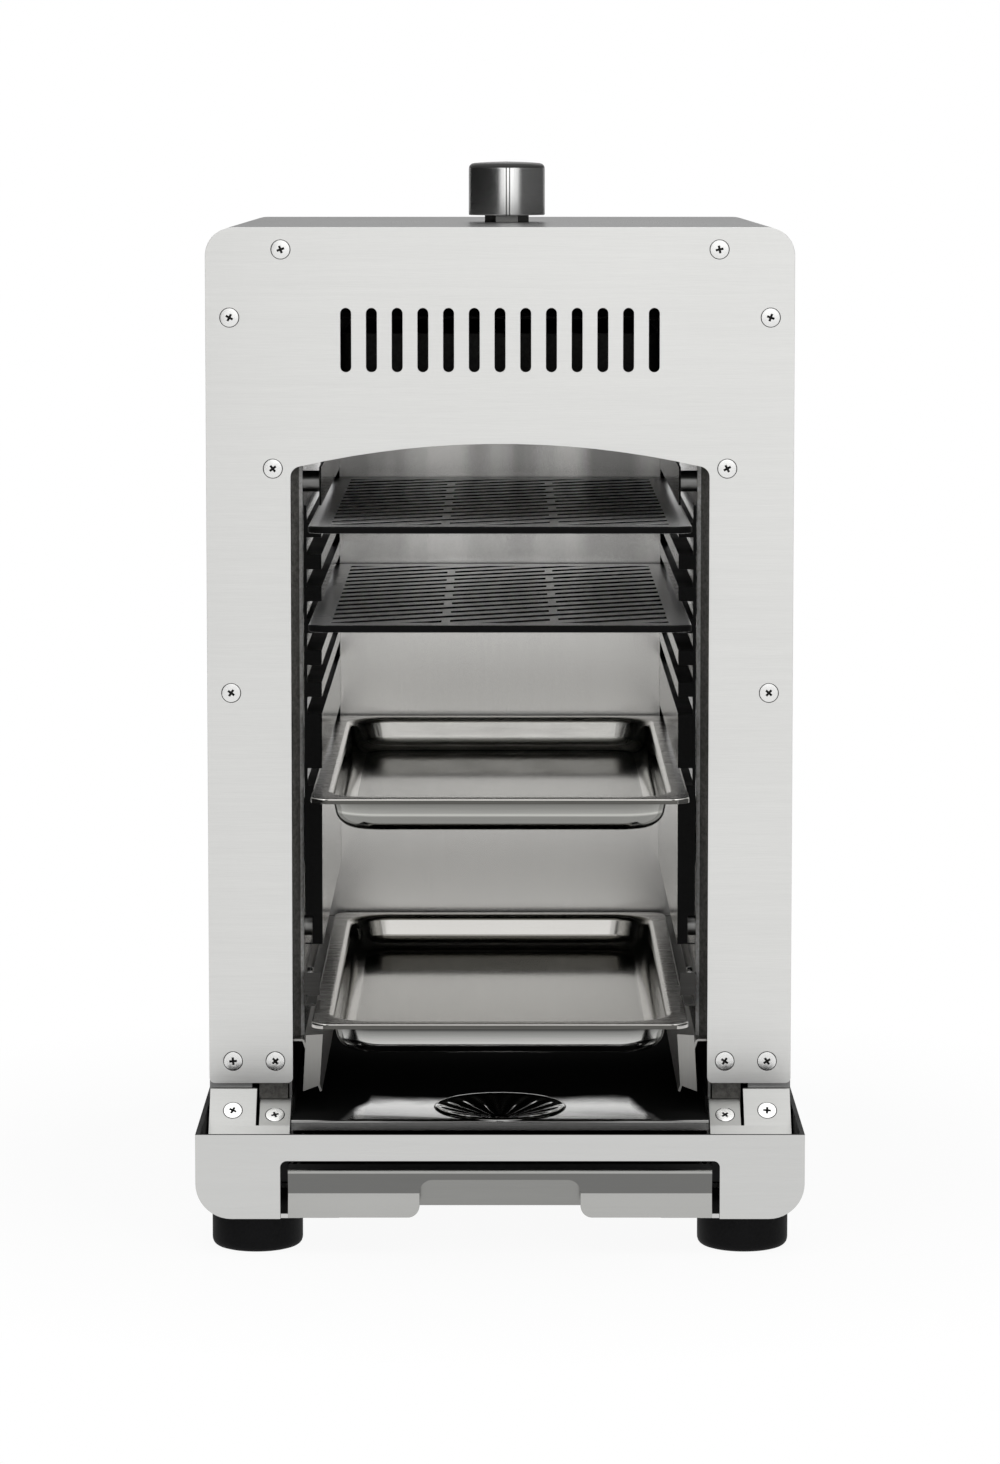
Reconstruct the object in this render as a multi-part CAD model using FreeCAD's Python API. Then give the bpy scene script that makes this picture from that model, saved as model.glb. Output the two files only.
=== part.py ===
import FreeCAD, Part

import math
import os

Vector = FreeCAD.Vector

# Infrared top-heat gas grill. Millimetres, +Z up, the front faces -Y.
# Pieces are drawn with Y as the depth behind the base's front face and are
# moved at the end, so that the origin is the middle of the footprint.

# Shelves, which set the width and depth of the cavity
shelf_width = 176.0
shelf_depth = 325.0
shelf_corner_radius = 9.0
shelf_overhang = 59.0
shelf_rear_clearance = 5.0
seat_gap = 0.3
grate_sheet = 1.5
grate_lip = 3.2
pan_sheet = 0.8
pan_lip = 2.4
pan_rim_width = 10.5
pan_depth = 17.5
pan_taper = 3.0
pan_corner_radius = 20.0
pan_bottom_radius = 6.0

# Slot pattern of a grate
slot_width = 8.2
slot_pitch = 18.3
slot_skew = 30.0
slot_margin_side = 10.5
slot_margin_end = 13.0
bridge_width = 4.0
bridge_offset = 25.0

# Heights, each one counted from the piece below it
foot_height = 16.5
base_wall_height = 39.2
plate_lift = 10.3
sump_height = 34.5
lower_pan_height = 51.3
pan_spacing = 104.5
first_ledge_rise = 33.9
ledge_pitch = 15.1
ledge_count = 7
ledge_window = 8.2
rack_head = 18.0
rack_tail = 75.8
deck_gap = 16.5
burner_space = 96.0
ledges_below_upper_grate_count = 6
ledges_below_lower_grate_count = 3

# Side racks and liners
ledge_bite = 4.0
ledge_margin = 3.7
rack_sheet = 1.0
rack_flange_margin = 0.6
liner_sheet = 1.0
joggle = 5.0
joggle_start = 7.0
joggle_run = 8.0
liner_bend = 1.5
liner_lift = 20.0
liner_flange = 16.0
liner_rear_flange = 12.0
rack_front_gap = 9.0
spacer_diameter = 10.0
spacer_setback = 14.0
spacer_inset_end = 18.0
spacer_top_drop = 7.5
spacer_bottom_rise = 2.0
rail_height = 15.0

# Housing, front plate and rear cover
cheek_width = 39.5
housing_sheet = 1.2
housing_corner_radius = 13.2
housing_flange = 20.0
rear_flange = 11.0
porch_depth = 70.0
service_depth = 59.0
plate_thickness = 2.5
plate_foot_radius = 2.5
opening_corner_radius = 5.0
arch_drop = 5.0
arch_rise = 11.6
vent_slot_width = 5.0
vent_slot_height = 30.0
vent_slot_pitch = 12.0
vent_slot_count = 13
vent_slot_drop = 52.5
rear_vent_width = 46.0
rear_vent_height = 4.0
rear_vent_pitch = 12.0
rear_vent_rows = 7

# Base frame, sump, corner plates
base_sheet = 2.0
base_fit = 0.5
base_corner_radius = 16.5
chassis_sheet = 1.2
chassis_gap = 0.6
chassis_foot = 14.0
runner_sheet = 1.0
runner_leg = 8.0
sump_sheet = 1.0
sump_lip_setback = 13.0
sump_lip_drop = 5.0
sump_flange = 8.0
funnel_diameter = 60.0
funnel_depth = 6.0
funnel_setback = 31.0
drain_diameter = 8.0
deflector_sheet = 1.0
deflector_reach = 8.5
deflector_drop = 25.0
corner_sheet = 1.2
corner_fold_setback = 15.0
corner_fold_height = 7.0
corner_strip_length = 33.0
corner_strip_angle = 40.0
outer_flap_angle = 45.0
inner_flap_angle = 33.0
flap_slot_width = 1.6
flap_landing = 2.5
outer_flap_part = 0.577
post_width = 12.0
post_length = 10.0

# Feet
foot_diameter = 42.0
foot_edge_radius = 4.0
foot_inset = 27.5
foot_setback = 23.0
foot_recess_diameter = 14.0
foot_recess_depth = 9.0

# Drip drawer
drawer_side_gap = 3.5
drawer_opening_height = 27.0
drawer_opening_radius = 3.0
drawer_front_height = 22.2
drawer_front_drop = 0.5
drawer_sheet = 1.0
drawer_crease_depth = 2.2
drawer_crease_height = 11.0
drawer_finger_room = 14.0
drawer_length = 290.0
drawer_wall_height = 16.0
notch_width = 74.0
notch_height = 17.5
notch_radius = 6.0
floor_overlap = 2.0

# Burner
tile_length = 132.0
tile_width = 92.0
tile_thickness = 13.0
tile_gap = 0.5
tile_bite = 4.0
gasket_width = 8.0
gasket_height = 10.0
burner_sheet = 1.2
burner_height = 44.0
burner_flange = 12.0
deck_sheet = 1.2
deck_lap = 6.0
shield_sheet = 1.2
shield_gap = 6.0
shield_leg_gap = 19.0
shield_length = 150.0
mixing_tube_diameter = 24.0
mixing_tube_wall = 1.2
mixing_tube_length = 45.0
mixing_mouth_length = 5.0
mixing_mouth_flare = 4.0
mixing_tube_drop = 15.0

# Valve, knob and gas line
knob_setback = 165.0
knob_offset = 3.4
knob_diameter = 38.0
knob_height = 26.6
knob_lift = 3.4
knob_edge_radius = 3.0
knob_crown = 1.0
knob_cavity_diameter = 27.0
knob_cavity_depth = 6.6
pointer_width = 1.2
pointer_depth = 0.6
push_travel = 3.0
valve_diameter = 26.0
valve_body_height = 17.0
valve_neck_diameter = 20.0
valve_neck_height = 11.8
bush_diameter = 14.0
bush_rise = 6.0
valve_cap_height = 2.5
valve_nut_flats = 19.0
valve_nut_height = 4.0
plug_diameter = 14.0
plug_roof = 3.0
stem_diameter = 6.0
collar_diameter = 10.2
collar_height = 1.5
chamber_diameter = 10.6
spring_wire = 0.8
spring_turns = 5
port_diameter = 12.0
port_length = 7.0
pipe_diameter = 8.0
pipe_wall = 1.0
pipe_bend = 12.0
pipe_reach = 25.0
running_clearance = 0.05
jet_block_size = 16.0
jet_block_length = 24.8
jet_diameter = 8.0
jet_length = 9.0
jet_bore = 1.0
inlet_thread_diameter = 13.157
inlet_thread_length = 14.0
inlet_hex_flats = 17.0
inlet_hex_height = 5.0
inlet_shank_diameter = 13.0
inlet_shank_length = 15.0
inlet_bore = 6.0
inlet_nut_height = 5.0
sensor_offset = 30.0
sensor_diameter = 6.0
sensor_collar_diameter = 12.0
sensor_collar_height = 3.0
sensor_reach = 5.0
sensor_rise = 17.0
tip_diameter = 2.0
tip_length = 4.0
lead_diameter = 3.0
lead_bend = 10.0
igniter_width = 16.0
igniter_length = 25.0
igniter_gap = 20.0

# Fasteners
plate_screw_head = 9.3
plate_screw_shank = 5.0
plate_screw_length = 10.0
plate_screw_edge_inset = 11.2
plate_screw_opening_inset = 8.3
plate_screw_top_inset = 10.3
plate_screw_top_spread = 204.6
plate_screw_upper_drop = 42.0
plate_screw_middle_height = 185.8
plate_screw_lower_height = 10.5
corner_screw_setback = 9.0
corner_screw_length = 12.0
recess_length = 5.4
recess_width = 1.2
recess_depth = 1.6
recess_turn = 37.0
clip_nut_width = 9.0
clip_nut_height = 3.5
pan_screw_head = 7.6
pan_screw_head_height = 2.4
pan_screw_shank = 4.0
pan_screw_length = 8.0
rear_screw_count = 4
foot_screw_head = 10.0
foot_screw_head_height = 3.5
foot_nut_flats = 8.0
foot_nut_height = 4.0

# Places worked out from the sizes above
base_bottom = foot_height
base_top = base_bottom + base_wall_height
floor_top = base_bottom + base_sheet
plate_bottom = base_top + plate_lift
sump_top = base_bottom + sump_height
lower_ledge = sump_top + lower_pan_height
pan_ledge = lower_ledge + pan_spacing
grate_ledges = [pan_ledge + first_ledge_rise + level * ledge_pitch for level in range(ledge_count)]
rack_bottom = pan_ledge - rack_tail
rack_top = grate_ledges[-1] + ledge_window + rack_head
deck_bottom = rack_top + deck_gap
deck_top = deck_bottom + deck_sheet
housing_top = deck_top - deck_sheet + burner_space
arch_apex = deck_bottom - arch_drop
arch_end = arch_apex - arch_rise
housing_bottom = base_bottom + base_corner_radius + 1.0
liner_bottom = plate_bottom + liner_lift

shelf_half = shelf_width / 2
rack_face = shelf_half - ledge_bite
ledge_edge = shelf_half + ledge_margin
liner_face = ledge_edge + rack_flange_margin + 0.7
rack_flange_edge = liner_face - rack_flange_margin
opening_half = liner_face + joggle
liner_flange_edge = opening_half + liner_flange
chassis_face = opening_half + chassis_gap
housing_half = opening_half + cheek_width
base_inner_half = housing_half + base_fit
base_half = base_inner_half + base_sheet

plate_rear = porch_depth + plate_thickness
shelf_front = porch_depth - shelf_overhang
shelf_rear = shelf_front + shelf_depth
back_liner_face = shelf_rear + shelf_rear_clearance
housing_rear = back_liner_face + service_depth
cover_front = housing_rear - housing_sheet
base_depth = housing_rear + base_fit + base_sheet
rack_front = porch_depth + rack_front_gap
rack_rear = back_liner_face - 1.0
inlet_end = housing_rear + inlet_hex_height + inlet_thread_length
total_depth = max(inlet_end, base_depth + pan_screw_head_height)
front_y = -total_depth / 2

plate_hole_radius = plate_screw_shank / 2 + 0.2
AXES = {"x": Vector(1, 0, 0), "d": Vector(0, 1, 0), "z": Vector(0, 0, 1)}


# Shape helpers

def at_plane(axis, u, v, level):
    """A point given by its two coordinates in the plane across an axis."""
    if axis == "x":
        return Vector(level, u, v)
    if axis == "d":
        return Vector(u, level, v)
    return Vector(u, v, level)


def box(x0, x1, d0, d1, z0, z1):
    """A block between two corners."""
    return Part.makeBox(x1 - x0, d1 - d0, z1 - z0, Vector(x0, d0, z0))


def centred_box(half_x, d0, d1, z0, z1):
    """A block that is symmetrical about the middle plane."""
    return box(-half_x, half_x, d0, d1, z0, z1)


def rod(radius, start, end):
    """A round bar between two points."""
    run = Vector(*end) - Vector(*start)
    return Part.makeCylinder(radius, run.Length, Vector(*start), run)


def sleeve(outer, inner, start, end):
    """A round bar with a bore."""
    return rod(outer, start, end).cut(rod(inner, start, end))


def prism(axis, points, low, high):
    """A polygon across an axis, pulled along it."""
    corners = [at_plane(axis, u, v, low) for u, v in points]
    face = Part.Face(Part.makePolygon(corners + corners[:1]))
    return face.extrude(AXES[axis] * (high - low))


def hexagon(axis, centre, flats, low, high):
    """A hexagonal prism across the flats."""
    reach = flats / math.sqrt(3)
    points = []
    for corner in range(6):
        angle = math.radians(60 * corner)
        points.append((centre[0] + reach * math.cos(angle), centre[1] + reach * math.sin(angle)))
    return prism(axis, points, low, high)


def bent_sheet(axis, points, thickness, bend, low, high):
    """A folded sheet: the points are its face, the metal lies to their left."""
    face_line = []
    back_line = []
    corners = [Vector(u, v, 0) for u, v in points]
    normals = []
    for first, second in zip(corners, corners[1:]):
        run = (second - first).normalize()
        normals.append(Vector(-run.y, run.x, 0))
    face_from = corners[0]
    back_from = corners[0] + normals[0] * thickness
    for index in range(1, len(corners) - 1):
        before = (corners[index] - corners[index - 1]).normalize()
        after = (corners[index + 1] - corners[index]).normalize()
        turn = before.cross(after).z
        half_angle = before.getAngle(after) / 2
        face_radius = bend + thickness if turn > 0 else bend
        back_radius = bend if turn > 0 else bend + thickness
        reach = face_radius * math.tan(half_angle)
        start = corners[index] - before * reach
        end = corners[index] + after * reach
        inward = 1 if turn > 0 else -1
        centre = start + normals[index - 1] * face_radius * inward
        outward = (corners[index] - centre).normalize()
        face_line.append(Part.LineSegment(face_from, start).toShape())
        face_line.append(Part.Arc(start, centre + outward * face_radius, end).toShape())
        back_start = centre + (start - centre).normalize() * back_radius
        back_end = centre + (end - centre).normalize() * back_radius
        back_line.append(Part.LineSegment(back_from, back_start).toShape())
        back_line.append(Part.Arc(back_start, centre + outward * back_radius, back_end).toShape())
        face_from = end
        back_from = back_end
    face_line.append(Part.LineSegment(face_from, corners[-1]).toShape())
    back_end = corners[-1] + normals[-1] * thickness
    back_line.append(Part.LineSegment(back_from, back_end).toShape())
    caps = [Part.LineSegment(corners[-1], back_end).toShape()]
    caps.append(Part.LineSegment(corners[0], corners[0] + normals[0] * thickness).toShape())
    outline = Part.Wire(Part.__sortEdges__(face_line + caps + back_line))
    solid = Part.Face(outline).extrude(Vector(0, 0, high - low))
    if axis == "z":
        return solid.translated(Vector(0, 0, low))
    if axis == "x":
        return solid.transformGeometry(FreeCAD.Matrix(0, 0, 1, low, 1, 0, 0, 0, 0, 1, 0, 0, 0, 0, 0, 1))
    return solid.transformGeometry(FreeCAD.Matrix(1, 0, 0, 0, 0, 0, 1, low, 0, 1, 0, 0, 0, 0, 0, 1))


def round_along(solid, axis, radius, keep):
    """Fillets the straight edges along an axis whose middle passes a test."""
    edges = []
    for edge in solid.Edges:
        ends = [vertex.Point for vertex in edge.Vertexes]
        if len(ends) != 2:
            continue
        run = ends[1] - ends[0]
        if run.Length > 0 and abs(run.normalize().dot(AXES[axis])) > 0.9999:
            middle = (ends[0] + ends[1]) * 0.5
            if keep(middle):
                edges.append(edge)
    return solid.makeFillet(radius, edges)


def mirrored(solid):
    """The same piece on the other side of the middle plane."""
    return solid.mirror(Vector(0, 0, 0), Vector(1, 0, 0))


def both_sides(solid):
    """A piece and its mirror image."""
    return [solid, mirrored(solid)]


def fused(shapes):
    """One solid out of several that meet."""
    whole = shapes[0].fuse(shapes[1:]) if len(shapes) > 1 else shapes[0]
    return whole.removeSplitter()


def placed(shape, position, direction, spin=0.0):
    """Turns a piece drawn along +Z to a direction and moves it to a place."""
    turn = FreeCAD.Rotation(Vector(0, 0, 1), Vector(*direction))
    turn = turn.multiply(FreeCAD.Rotation(Vector(0, 0, 1), spin))
    copy = shape.copy()
    copy.Placement = FreeCAD.Placement(Vector(*position), turn)
    return copy


def pipe(radius, points, bend):
    """A round bar along straight runs joined by tangent arcs."""
    corners = [Vector(*point) for point in points]
    edges = []
    start = corners[0]
    for index in range(1, len(corners) - 1):
        before = (corners[index] - corners[index - 1]).normalize()
        after = (corners[index + 1] - corners[index]).normalize()
        reach = bend * math.tan(before.getAngle(after) / 2)
        arc_start = corners[index] - before * reach
        arc_end = corners[index] + after * reach
        towards = (after - before).normalize()
        centre_reach = bend / math.cos(before.getAngle(after) / 2)
        middle = corners[index] + towards * (centre_reach - bend)
        edges.append(Part.LineSegment(start, arc_start).toShape())
        edges.append(Part.Arc(arc_start, middle, arc_end).toShape())
        start = arc_end
    edges.append(Part.LineSegment(start, corners[-1]).toShape())
    ring = Part.makeCircle(radius, corners[0], corners[1] - corners[0])
    return Part.Wire(edges).makePipeShell([Part.Wire(ring)], True, True)


def rounded_rectangle(half_x, d0, d1, radius, level):
    """A closed outline with four round corners at one height."""
    corners = [(half_x, d1, 0), (-half_x, d1, 90), (-half_x, d0, 180), (half_x, d0, 270)]
    edges = []
    previous = None
    first = None
    for x, d, turn in corners:
        centre = Vector(x - math.copysign(radius, x), d - radius if d == d1 else d + radius, level)
        points = []
        for angle in (turn, turn + 45, turn + 90):
            direction = Vector(math.cos(math.radians(angle)), math.sin(math.radians(angle)), 0)
            points.append(centre + direction * radius)
        if previous is not None:
            edges.append(Part.LineSegment(previous, points[0]).toShape())
        else:
            first = points[0]
        edges.append(Part.Arc(*points).toShape())
        previous = points[2]
    edges.append(Part.LineSegment(previous, first).toShape())
    return Part.Wire(edges)


def rounded_plate(half_x, d0, d1, radius, z0, z1):
    """A flat plate with four round corners."""
    face = Part.Face(rounded_rectangle(half_x, d0, d1, radius, z0))
    return face.extrude(Vector(0, 0, z1 - z0))


def save(name, *shapes):
    """Writes one node, as one solid or as a group of separate solids."""
    solids = [solid for shape in shapes for solid in shape.Solids]
    node = solids[0] if len(solids) == 1 else Part.makeCompound(solids)
    node.translated(Vector(0, front_y, 0)).exportStep(os.path.join("parts", name + ".step"))


def save_valve(name, solid):
    """Writes a piece of the valve or knob, which stand a little off the middle."""
    save(name, solid.translated(Vector(knob_offset, 0, 0)))


def save_pair(name, solid):
    """Writes a left and a right piece that mirror each other."""
    save("right_" + name, solid)
    save("left_" + name, mirrored(solid))


# Fasteners, drawn along +Z with the seat of the head at the origin

def countersunk_screw(head, shank, length):
    """Countersunk machine screw with a cross recess, top of its head at Z = 0."""
    depth = (head - shank) / 2
    body = Part.makeCone(shank / 2, head / 2, depth, Vector(0, 0, -depth))
    body = body.fuse(Part.makeCylinder(shank / 2, length - depth, Vector(0, 0, -length)))
    half = recess_length / 2
    arm = box(-half, half, -recess_width / 2, recess_width / 2, -recess_depth, 0)
    cross = box(-recess_width / 2, recess_width / 2, -half, half, -recess_depth, 0)
    return body.cut([arm, cross]).removeSplitter()


def countersink(head, shank, length):
    """The space that a countersunk screw needs."""
    depth = (head - shank) / 2
    cone = Part.makeCone(shank / 2, head / 2, depth, Vector(0, 0, -depth))
    shaft = Part.makeCylinder(shank / 2 + running_clearance, length + 1, Vector(0, 0, -length - 1))
    return cone.fuse([shaft, Part.makeCylinder(head / 2, 1)])


def pan_screw(head, head_height, shank, length):
    """Pan-head machine screw with a cross recess."""
    top = Part.makeCylinder(head / 2, head_height)
    rim = [edge for edge in top.Edges if edge.CenterOfMass.z > head_height - 0.01]
    top = top.makeFillet(head_height * 0.4, rim[:1])
    body = top.fuse(Part.makeCylinder(shank / 2, length, Vector(0, 0, -length)))
    half = head * 0.3
    low = head_height - recess_depth * 0.7
    arm = box(-half, half, -recess_width / 2, recess_width / 2, low, head_height)
    cross = box(-recess_width / 2, recess_width / 2, -half, half, low, head_height)
    return body.cut([arm, cross]).removeSplitter()


def screw_hole(shank, depth):
    """The clearance hole of a screw, on both sides of its seat."""
    return Part.makeCylinder(shank / 2 + running_clearance, 2 * depth, Vector(0, 0, -depth))


# Front plate screws: places on the plate, in X and Z

def plate_screw_places():
    """The twelve screws that hold the front plate."""
    outer = housing_half - plate_screw_edge_inset
    inner = opening_half + plate_screw_opening_inset
    low = plate_bottom + plate_screw_lower_height
    places = []
    for side in (-1, 1):
        places.append((side * plate_screw_top_spread / 2, housing_top - plate_screw_top_inset))
        places.append((side * outer, housing_top - plate_screw_upper_drop))
        places.append((side * inner, arch_end))
        places.append((side * outer, plate_bottom + plate_screw_middle_height))
        places.append((side * outer, low))
        places.append((side * inner, low))
    return places


def plate_screw_holes(radius, d0, d1):
    """Round holes in line with the plate screws."""
    return [rod(radius, (x, d0, z), (x, d1, z)) for x, z in plate_screw_places()]


# Housing

def housing_outline(inset, d0, d1, low):
    """The housing's outer form, drawn in by a sheet's thickness."""
    half = housing_half - inset
    radius = max(housing_corner_radius - inset, 1.0)
    block = box(-half, half, d0, d1, low, housing_top - inset)
    return round_along(block, "d", radius, lambda middle: middle.z > housing_top - inset - 1)


def build_housing():
    """Roof and sides in one folded sheet, with flanges for the plate and the cover."""
    shell = housing_outline(0, plate_rear, cover_front, housing_bottom)
    room = housing_outline(housing_sheet, plate_rear + housing_sheet, cover_front - housing_sheet,
                           housing_bottom - 1)
    mouth = housing_outline(housing_flange, plate_rear - 1, plate_rear + housing_sheet + 1,
                            housing_bottom - 1)
    exit_room = housing_outline(rear_flange, cover_front - housing_sheet - 1, cover_front + 1,
                                housing_bottom - 1)
    shell = shell.cut([room, mouth, exit_room])
    holes = plate_screw_holes(plate_screw_shank / 2 + running_clearance, plate_rear - 1,
                              plate_rear + housing_sheet + 1)
    for x, z in rear_screw_places():
        holes.append(placed(screw_hole(pan_screw_shank, 6), (x, housing_rear, z), (0, 1, 0)))
    bush_hole = rod(bush_diameter / 2 + 0.1, (knob_offset, knob_d, housing_top - 10),
                    (knob_offset, knob_d, housing_top + 1))
    return shell.cut(holes + [bush_hole])


def build_front_plate():
    """Brushed front plate with its arched opening, screw holes and vent slots."""
    plate = box(-housing_half, housing_half, porch_depth, plate_rear, plate_bottom, housing_top)
    plate = round_along(plate, "d", housing_corner_radius, lambda middle: middle.z > arch_apex)
    plate = round_along(plate, "d", plate_foot_radius, lambda middle: middle.z < arch_end)
    low = Vector(-opening_half, porch_depth - 1, plate_bottom - 1)
    spring_left = Vector(-opening_half, porch_depth - 1, arch_end)
    spring_right = Vector(opening_half, porch_depth - 1, arch_end)
    crown = Vector(0, porch_depth - 1, arch_apex)
    edges = [Part.LineSegment(low, spring_left).toShape()]
    edges.append(Part.Arc(spring_left, crown, spring_right).toShape())
    corner = Vector(opening_half, porch_depth - 1, plate_bottom - 1)
    edges.append(Part.LineSegment(spring_right, corner).toShape())
    edges.append(Part.LineSegment(corner, low).toShape())
    mouth = Part.Face(Part.Wire(edges)).extrude(Vector(0, plate_thickness + 2, 0))
    mouth = round_along(mouth, "d", opening_corner_radius, lambda middle: middle.z > arch_end - 1)
    plate = plate.cut(mouth)
    plate = round_along(plate, "d", plate_foot_radius,
                        lambda middle: middle.z < plate_bottom + 1 and abs(middle.x) < opening_half + 1)
    sinks = []
    for x, z in plate_screw_places():
        sink = countersink(plate_screw_head, plate_screw_shank, plate_screw_length)
        sinks.append(placed(sink, (x, porch_depth, z), (0, -1, 0)))
    return plate.cut(sinks + vent_slots())


def vent_slots():
    """A row of plain upright slots with round ends."""
    middle = housing_top - vent_slot_drop
    radius = vent_slot_width / 2
    straight = vent_slot_height / 2 - radius
    cutters = []
    for index in range(vent_slot_count):
        x = (index - (vent_slot_count - 1) / 2) * vent_slot_pitch
        slot = box(x - radius, x + radius, porch_depth - 1, plate_rear + 1, middle - straight,
                   middle + straight)
        ends = [rod(radius, (x, porch_depth - 1, z), (x, plate_rear + 1, z))
                for z in (middle - straight, middle + straight)]
        cutters.append(slot.fuse(ends))
    return cutters


def rear_screw_places():
    """Screws of the rear cover, in X and Z."""
    x = housing_half - housing_sheet - rear_flange / 2
    low = base_top + 25
    step = (housing_top - 20 - low) / (rear_screw_count - 1)
    return [(side * x, low + row * step) for side in (-1, 1) for row in range(rear_screw_count)]


def base_screw_places():
    """Screws that hold the housing to the base frame's rear wall."""
    return [(side * (housing_half - 37), base_top - 10) for side in (-1, 1)]


def build_rear_cover():
    """Flat rear cover with rows of air slots and the hole for the gas inlet."""
    cover = housing_outline(0, cover_front, housing_rear, housing_bottom)
    cutters = []
    radius = rear_vent_height / 2
    for row in range(rear_vent_rows):
        z = jet_z + (row - (rear_vent_rows - 1) / 2) * rear_vent_pitch - 40
        for side in (-1, 1):
            x = side * (rear_vent_width / 2 + 30)
            slot = box(x - rear_vent_width / 2 + radius, x + rear_vent_width / 2 - radius,
                       cover_front - 1, housing_rear + 1, z - radius, z + radius)
            ends = [rod(radius, (x + end * (rear_vent_width / 2 - radius), cover_front - 1, z),
                        (x + end * (rear_vent_width / 2 - radius), housing_rear + 1, z))
                    for end in (-1, 1)]
            cutters.append(slot.fuse(ends))
    for x, z in rear_screw_places() + base_screw_places():
        cutters.append(placed(screw_hole(pan_screw_shank, 6), (x, housing_rear, z), (0, 1, 0)))
    cutters.append(rod(inlet_shank_diameter / 2 + 0.2, (inlet_x, cover_front - 1, port_z),
                       (inlet_x, housing_rear + 1, port_z)))
    return cover.cut(cutters)


# Cavity

def build_liner():
    """Right side wall of the cavity: front flange, joggle, wall and rear flange."""
    start = plate_rear + joggle_start
    end = start + joggle_run
    path = [(liner_face + liner_rear_flange, back_liner_face), (liner_face, back_liner_face),
            (liner_face, end), (opening_half, start), (opening_half, plate_rear),
            (liner_flange_edge, plate_rear)]
    return bent_sheet("z", path, liner_sheet, liner_bend, liner_bottom, deck_bottom)


def finish_liner(wall):
    """Adds the flange's foot and the holes to a side wall."""
    foot = box(opening_half + liner_bend + liner_sheet, liner_flange_edge, plate_rear,
               plate_rear + liner_sheet, sump_top, liner_bottom + 1)
    wall = wall.fuse(foot)
    holes = plate_screw_holes(plate_screw_shank / 2 + running_clearance, plate_rear - 1,
                              plate_rear + liner_sheet + 1)
    for d, z in spacer_places() + rail_screw_places():
        holes.append(rod(pan_screw_shank / 2 + running_clearance, (liner_face - 1, d, z),
                         (liner_face + liner_sheet + 1, d, z)))
    return wall.cut(holes).removeSplitter()


def build_back_liner():
    """Back wall of the cavity, stiffened by edges folded to the rear."""
    half = liner_face + liner_rear_flange
    fold = back_liner_face + liner_rear_flange
    path = [(-half, fold), (-half, back_liner_face), (half, back_liner_face), (half, fold)]
    return bent_sheet("z", path, liner_sheet, liner_bend, sump_top - sump_sheet, deck_bottom)


def rack_slots():
    """Height of each slot's lower edge in a side rack."""
    return [pan_ledge] + grate_ledges


def build_rack():
    """Right slotted rack: inner face, ledges, windowed front flange, rear flange."""
    inner = rack_face
    outer = rack_face + rack_sheet
    pieces = [box(inner, outer, rack_front, rack_rear, rack_bottom, rack_top)]
    pieces.append(box(inner, rack_flange_edge, rack_front, rack_front + rack_sheet,
                      rack_bottom, rack_top - rack_head))
    pieces.append(box(inner, rack_flange_edge, rack_rear - rack_sheet, rack_rear,
                      rack_bottom, rack_top - rack_head))
    for level in rack_slots():
        pieces.append(box(inner, ledge_edge, rack_front, rack_rear, level - rack_sheet, level))
    rack = fused(pieces)
    cutters = []
    for level in rack_slots():
        cutters.append(box(inner - 1, ledge_edge - 0.8, rack_front - 1, shelf_rear + 1,
                           level, level + ledge_window))
    tab_edge = rack_face + ledge_bite + 0.9
    low = spacer_places()[-1][1] - spacer_diameter / 2 - 1.5
    high = spacer_places()[-1][1] + spacer_diameter / 2 + 1.5
    cutters.append(box(tab_edge, rack_flange_edge + 1, rack_front - 1, rack_front + rack_sheet + 1,
                       low, high))
    for d, z in spacer_places():
        cutters.append(rod(pan_screw_shank / 2 + running_clearance, (inner - 1, d, z),
                           (outer + 1, d, z)))
    return rack.cut(cutters).removeSplitter()


def spacer_places():
    """Depth and height of the spacers between a rack and the side wall."""
    depths = (rack_front + spacer_setback, rack_rear - spacer_inset_end)
    heights = (rack_top - spacer_top_drop, rack_bottom + spacer_bottom_rise + spacer_diameter / 2)
    return [(d, z) for z in heights for d in depths]


def build_spacers():
    """Round spacers between the rack and the side wall."""
    return [sleeve(spacer_diameter / 2, pan_screw_shank / 2 + running_clearance,
                   (rack_face + rack_sheet, d, z), (liner_face, d, z)) for d, z in spacer_places()]


def wall_screw():
    """Screw of the side walls, just long enough for wall, spacer and rack."""
    length = liner_face + liner_sheet - rack_face
    return pan_screw(pan_screw_head, pan_screw_head_height, pan_screw_shank, length)


def build_rack_screws():
    """Screws from outside the side wall through the spacers into the rack."""
    screw = wall_screw()
    return [placed(screw, (liner_face + liner_sheet, d, z), (1, 0, 0)) for d, z in spacer_places()]


def build_lower_rail():
    """Right rail of the lower pan: wall leg, ledge and a tab at the front."""
    wall = box(liner_face - rack_sheet, liner_face, rack_front, rack_rear, lower_ledge - rack_sheet,
               lower_ledge + rail_height)
    ledge = box(rack_face, liner_face, rack_front, rack_rear, lower_ledge - rack_sheet, lower_ledge)
    tab = box(rack_face + 1.5, liner_face, rack_front, rack_front + rack_sheet,
              lower_ledge + pan_lip + 1.8, lower_ledge + rail_height)
    rail = fused([wall, ledge, tab])
    holes = [rod(pan_screw_shank / 2 + running_clearance, (rack_face, d, z), (liner_face + 1, d, z))
             for d, z in rail_screw_places()]
    return rail.cut(holes)


def rail_screw_places():
    """Depth and height of the lower rail's screws."""
    z = lower_ledge + rail_height * 0.6
    return [(rack_front + spacer_setback + 15, z), (rack_rear - spacer_inset_end, z)]


def build_rail_screws():
    """Screws that hold the lower rails to the side walls."""
    screw = wall_screw()
    seat = liner_face - rack_sheet
    return [placed(screw, (seat, d, z), (-1, 0, 0)) for d, z in rail_screw_places()]


# Shelves

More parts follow.
